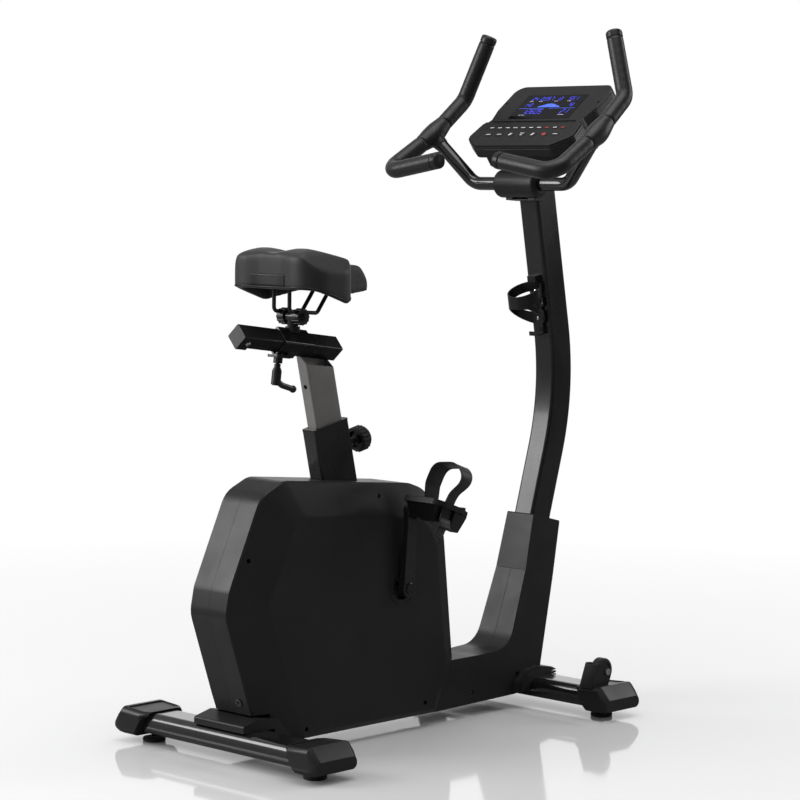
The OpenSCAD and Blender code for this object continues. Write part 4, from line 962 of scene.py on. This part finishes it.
lit_blue = glowing("lit_segments", (0.05, 0.055, 0.6), 0.8)
lit_pale = glowing("lit_graph", (0.06, 0.12, 0.62), 0.8)
added_to(flat_pieces("display_figures", figures(), LENS_TOP, lit_blue), "console_lens")
added_to(flat_pieces("display_graph", graph(), LENS_TOP, lit_pale), "console_lens")


def captions():
    """Short printed dashes beside the numbers."""
    shapes = []
    for x in (-74, -44, 4, 44):
        shapes.append([(x, 183.5), (x + 12, 183.5), (x + 12, 184.8), (x, 184.8)])
    for x in (-70, 52):
        shapes.append([(x, 128), (x + 18, 128), (x + 18, 129.3), (x, 129.3)])
    return shapes


def key_marks():
    """Plain marks on the keys: dashes above, simple signs below."""
    pale, red = [], []
    for i in range(10):
        x = -110 + i * 24.4
        target = red if i in (7, 9) else pale
        target.append([(x - 6, 71), (x + 6, 71), (x + 6, 73.4), (x - 6, 73.4)])
    for i in range(7):
        x = -104 + i * 34.6
        target = red if i == 5 else pale
        if i in (2, 4):
            target.append([(x - 5, 42), (x + 1, 42), (x + 5, 50), (x - 1, 50)])
        elif i == 3:
            target.append([(x - 6, 49), (x + 6, 49), (x + 6, 51), (x - 6, 51)])
            target.append([(x - 4, 42), (x + 4, 42), (x, 47)])
        elif i == 5:
            target.append([(x - 5, 42), (x + 5, 42), (x + 5, 50), (x - 5, 50)])
        else:
            target.append([(x - 7, 45), (x + 7, 45), (x + 7, 47.2), (x - 7, 47.2)])
    return pale, red


pale_marks, red_marks = key_marks()
ink_pale = printed("pale_ink", (0.55, 0.55, 0.56))
ink_red = printed("red_ink", (0.42, 0.03, 0.03))
added_to(flat_pieces("display_captions", captions(), LENS_TOP, ink_pale, 0.15), "console_lens")
added_to(flat_pieces("key_marks_pale", pale_marks, KEYS_TOP, ink_pale, 0.12), "console_keypad")
added_to(flat_pieces("key_marks_red", red_marks, KEYS_TOP, ink_red, 0.12), "console_keypad")


# ---------- stage ----------

FLOOR_TONE = (0.62, 0.62, 0.625)
FLOOR_HALF = 60.0
FLOOR_DROP = 0.0004
# the floor turns into backdrop between these distances, in metres
FADE_FROM = 0.9
FADE_FULL = 3.2


def floor():
    """Pale glossy studio floor that melts into the backdrop far off.
    Reflections on the bike see it dimmer, as if it were only lit round the bike."""
    f = Finish("studio_floor")
    f.set(Specular_IOR_Level=0.5)
    path = f.node("ShaderNodeLightPath")
    tone = f.mixed(f.ranged(f.noise(0.6, 3.0), 0.3, 0.7, 0.0, 1.0),
                   FLOOR_TONE, shade(FLOOR_TONE, 1.03))
    f.colour(f.mixed(path.outputs["Is Glossy Ray"], tone, shade(FLOOR_TONE, 0.3)))
    f.roughness(f.ranged(f.noise(2.0, 4.0), 0.3, 0.7, 0.05, 0.09))
    length = f.node("ShaderNodeVectorMath", operation="LENGTH")
    f.link(f.place, length.inputs[0])
    far = f.ranged(length.outputs["Value"], FADE_FROM, FADE_FULL, 0.0, 1.0)
    seen = f.math("MULTIPLY", far, path.outputs["Is Camera Ray"])
    glow = f.node("ShaderNodeEmission")
    mix = f.node("ShaderNodeMixShader")
    f.link(seen, mix.inputs["Fac"])
    f.link(f.shader.outputs[0], mix.inputs[1])
    f.link(glow.outputs[0], mix.inputs[2])
    f.link(mix.outputs[0], f.tree.nodes["Material Output"].inputs["Surface"])
    verts = [(x * FLOOR_HALF, y * FLOOR_HALF, 0) for x, y in ((-1, -1), (1, -1), (1, 1), (-1, 1))]
    obj = mesh_object("studio_floor", verts, [(0, 1, 2, 3)], f.material, smooth=False)
    obj.location.z = -FLOOR_DROP


floor()


def softbox(name, place, aim, width, height, power):
    """Large soft light that looks at a point (metres, watts)."""
    light = bpy.data.lights.new(name, "AREA")
    light.shape = "RECTANGLE"
    light.size = width
    light.size_y = height
    light.energy = power
    obj = bpy.data.objects.new(name, light)
    bpy.context.scene.collection.objects.link(obj)
    obj.location = place
    obj.rotation_mode = "QUATERNION"
    obj.rotation_quaternion = (Vector(aim) - Vector(place)).to_track_quat("-Z", "Y")
    return obj


softbox("rear_left_box", (-2.6, -3.4, 2.5), (0, 0, 0.7), 2.4, 2.4, 120)
softbox("overhead_box", (0.4, -0.2, 4.2), (0, 0, 0.6), 3.0, 3.0, 70)
softbox("front_rim_box", (2.2, 4.2, 2.6), (0, 0, 0.7), 1.6, 2.6, 50)


def studio_world():
    """White backdrop and even room light; reflections see a dimmer room that is
    bright behind the rider's left, so that black parts stay black."""
    world = bpy.data.worlds.new("studio")
    bpy.context.scene.world = world
    world.use_nodes = True
    tree = world.node_tree
    tree.nodes.clear()

    def background(strength):
        made = tree.nodes.new("ShaderNodeBackground")
        made.inputs["Color"].default_value = (1.0, 1.0, 1.0, 1.0)
        made.inputs["Strength"].default_value = strength
        return made

    def mixed(factor, a, b):
        made = tree.nodes.new("ShaderNodeMixShader")
        tree.links.new(factor, made.inputs["Fac"])
        tree.links.new(a.outputs[0], made.inputs[1])
        tree.links.new(b.outputs[0], made.inputs[2])
        return made

    path = tree.nodes.new("ShaderNodeLightPath")
    aim = tree.nodes.new("ShaderNodeVectorMath")
    aim.operation = "DOT_PRODUCT"
    aim.inputs[1].default_value = Vector((-0.55, -0.6, 0.58)).normalized()
    place = tree.nodes.new("ShaderNodeTexCoord")
    tree.links.new(place.outputs["Generated"], aim.inputs[0])
    spread = tree.nodes.new("ShaderNodeMapRange")
    tree.links.new(aim.outputs["Value"], spread.inputs["Value"])
    for key, value in (("From Min", -0.1), ("From Max", 1.0), ("To Min", 0.03), ("To Max", 0.5)):
        spread.inputs[key].default_value = value
    # the lit backdrop, as the floor and grazing edges mirror it
    ahead = tree.nodes.new("ShaderNodeVectorMath")
    ahead.operation = "DOT_PRODUCT"
    ahead.inputs[1].default_value = Vector((-0.69, 0.72, 0.1)).normalized()
    tree.links.new(place.outputs["Generated"], ahead.inputs[0])
    lobe = tree.nodes.new("ShaderNodeMapRange")
    tree.links.new(ahead.outputs["Value"], lobe.inputs["Value"])
    for key, value in (("From Min", 0.86), ("From Max", 0.97), ("To Min", 0.0), ("To Max", 1.0)):
        lobe.inputs[key].default_value = value
    both = tree.nodes.new("ShaderNodeMath")
    both.operation = "MAXIMUM"
    tree.links.new(spread.outputs["Result"], both.inputs[0])
    tree.links.new(lobe.outputs["Result"], both.inputs[1])
    mirrored = background(1.0)
    tree.links.new(both.outputs[0], mirrored.inputs["Strength"])
    indirect = mixed(path.outputs["Is Glossy Ray"], background(0.8), mirrored)
    shown = mixed(path.outputs["Is Camera Ray"], indirect, background(1.0))
    out = tree.nodes.new("ShaderNodeOutputWorld")
    tree.links.new(shown.outputs[0], out.inputs["Surface"])


studio_world()
bpy.context.scene.view_settings.view_transform = "Standard"

# solved from the photograph's housing, tubes and floor points
AZIMUTH = math.radians(43.89)
DROP = math.radians(4.74)
ROLL = math.radians(0.57)
CAMERA_PLACE = mm(4007, -4103, 1221)
LENS = 115.92


def camera():
    """The camera at the photographed place, angle and lens."""
    ahead = Vector((-math.sin(AZIMUTH) * math.cos(DROP), math.cos(AZIMUTH) * math.cos(DROP),
                    -math.sin(DROP)))
    level = Vector((math.cos(AZIMUTH), math.sin(AZIMUTH), 0))
    above = level.cross(ahead)
    right = level * math.cos(ROLL) + above * math.sin(ROLL)
    top = above * math.cos(ROLL) - level * math.sin(ROLL)
    data = bpy.data.cameras.new("camera")
    data.lens = LENS
    data.sensor_width = 36
    obj = bpy.data.objects.new("camera", data)
    bpy.context.scene.collection.objects.link(obj)
    turn = Matrix((right, top, -ahead)).transposed()
    obj.matrix_world = Matrix.Translation(CAMERA_PLACE) @ turn.to_4x4()
    bpy.context.scene.camera = obj


camera()
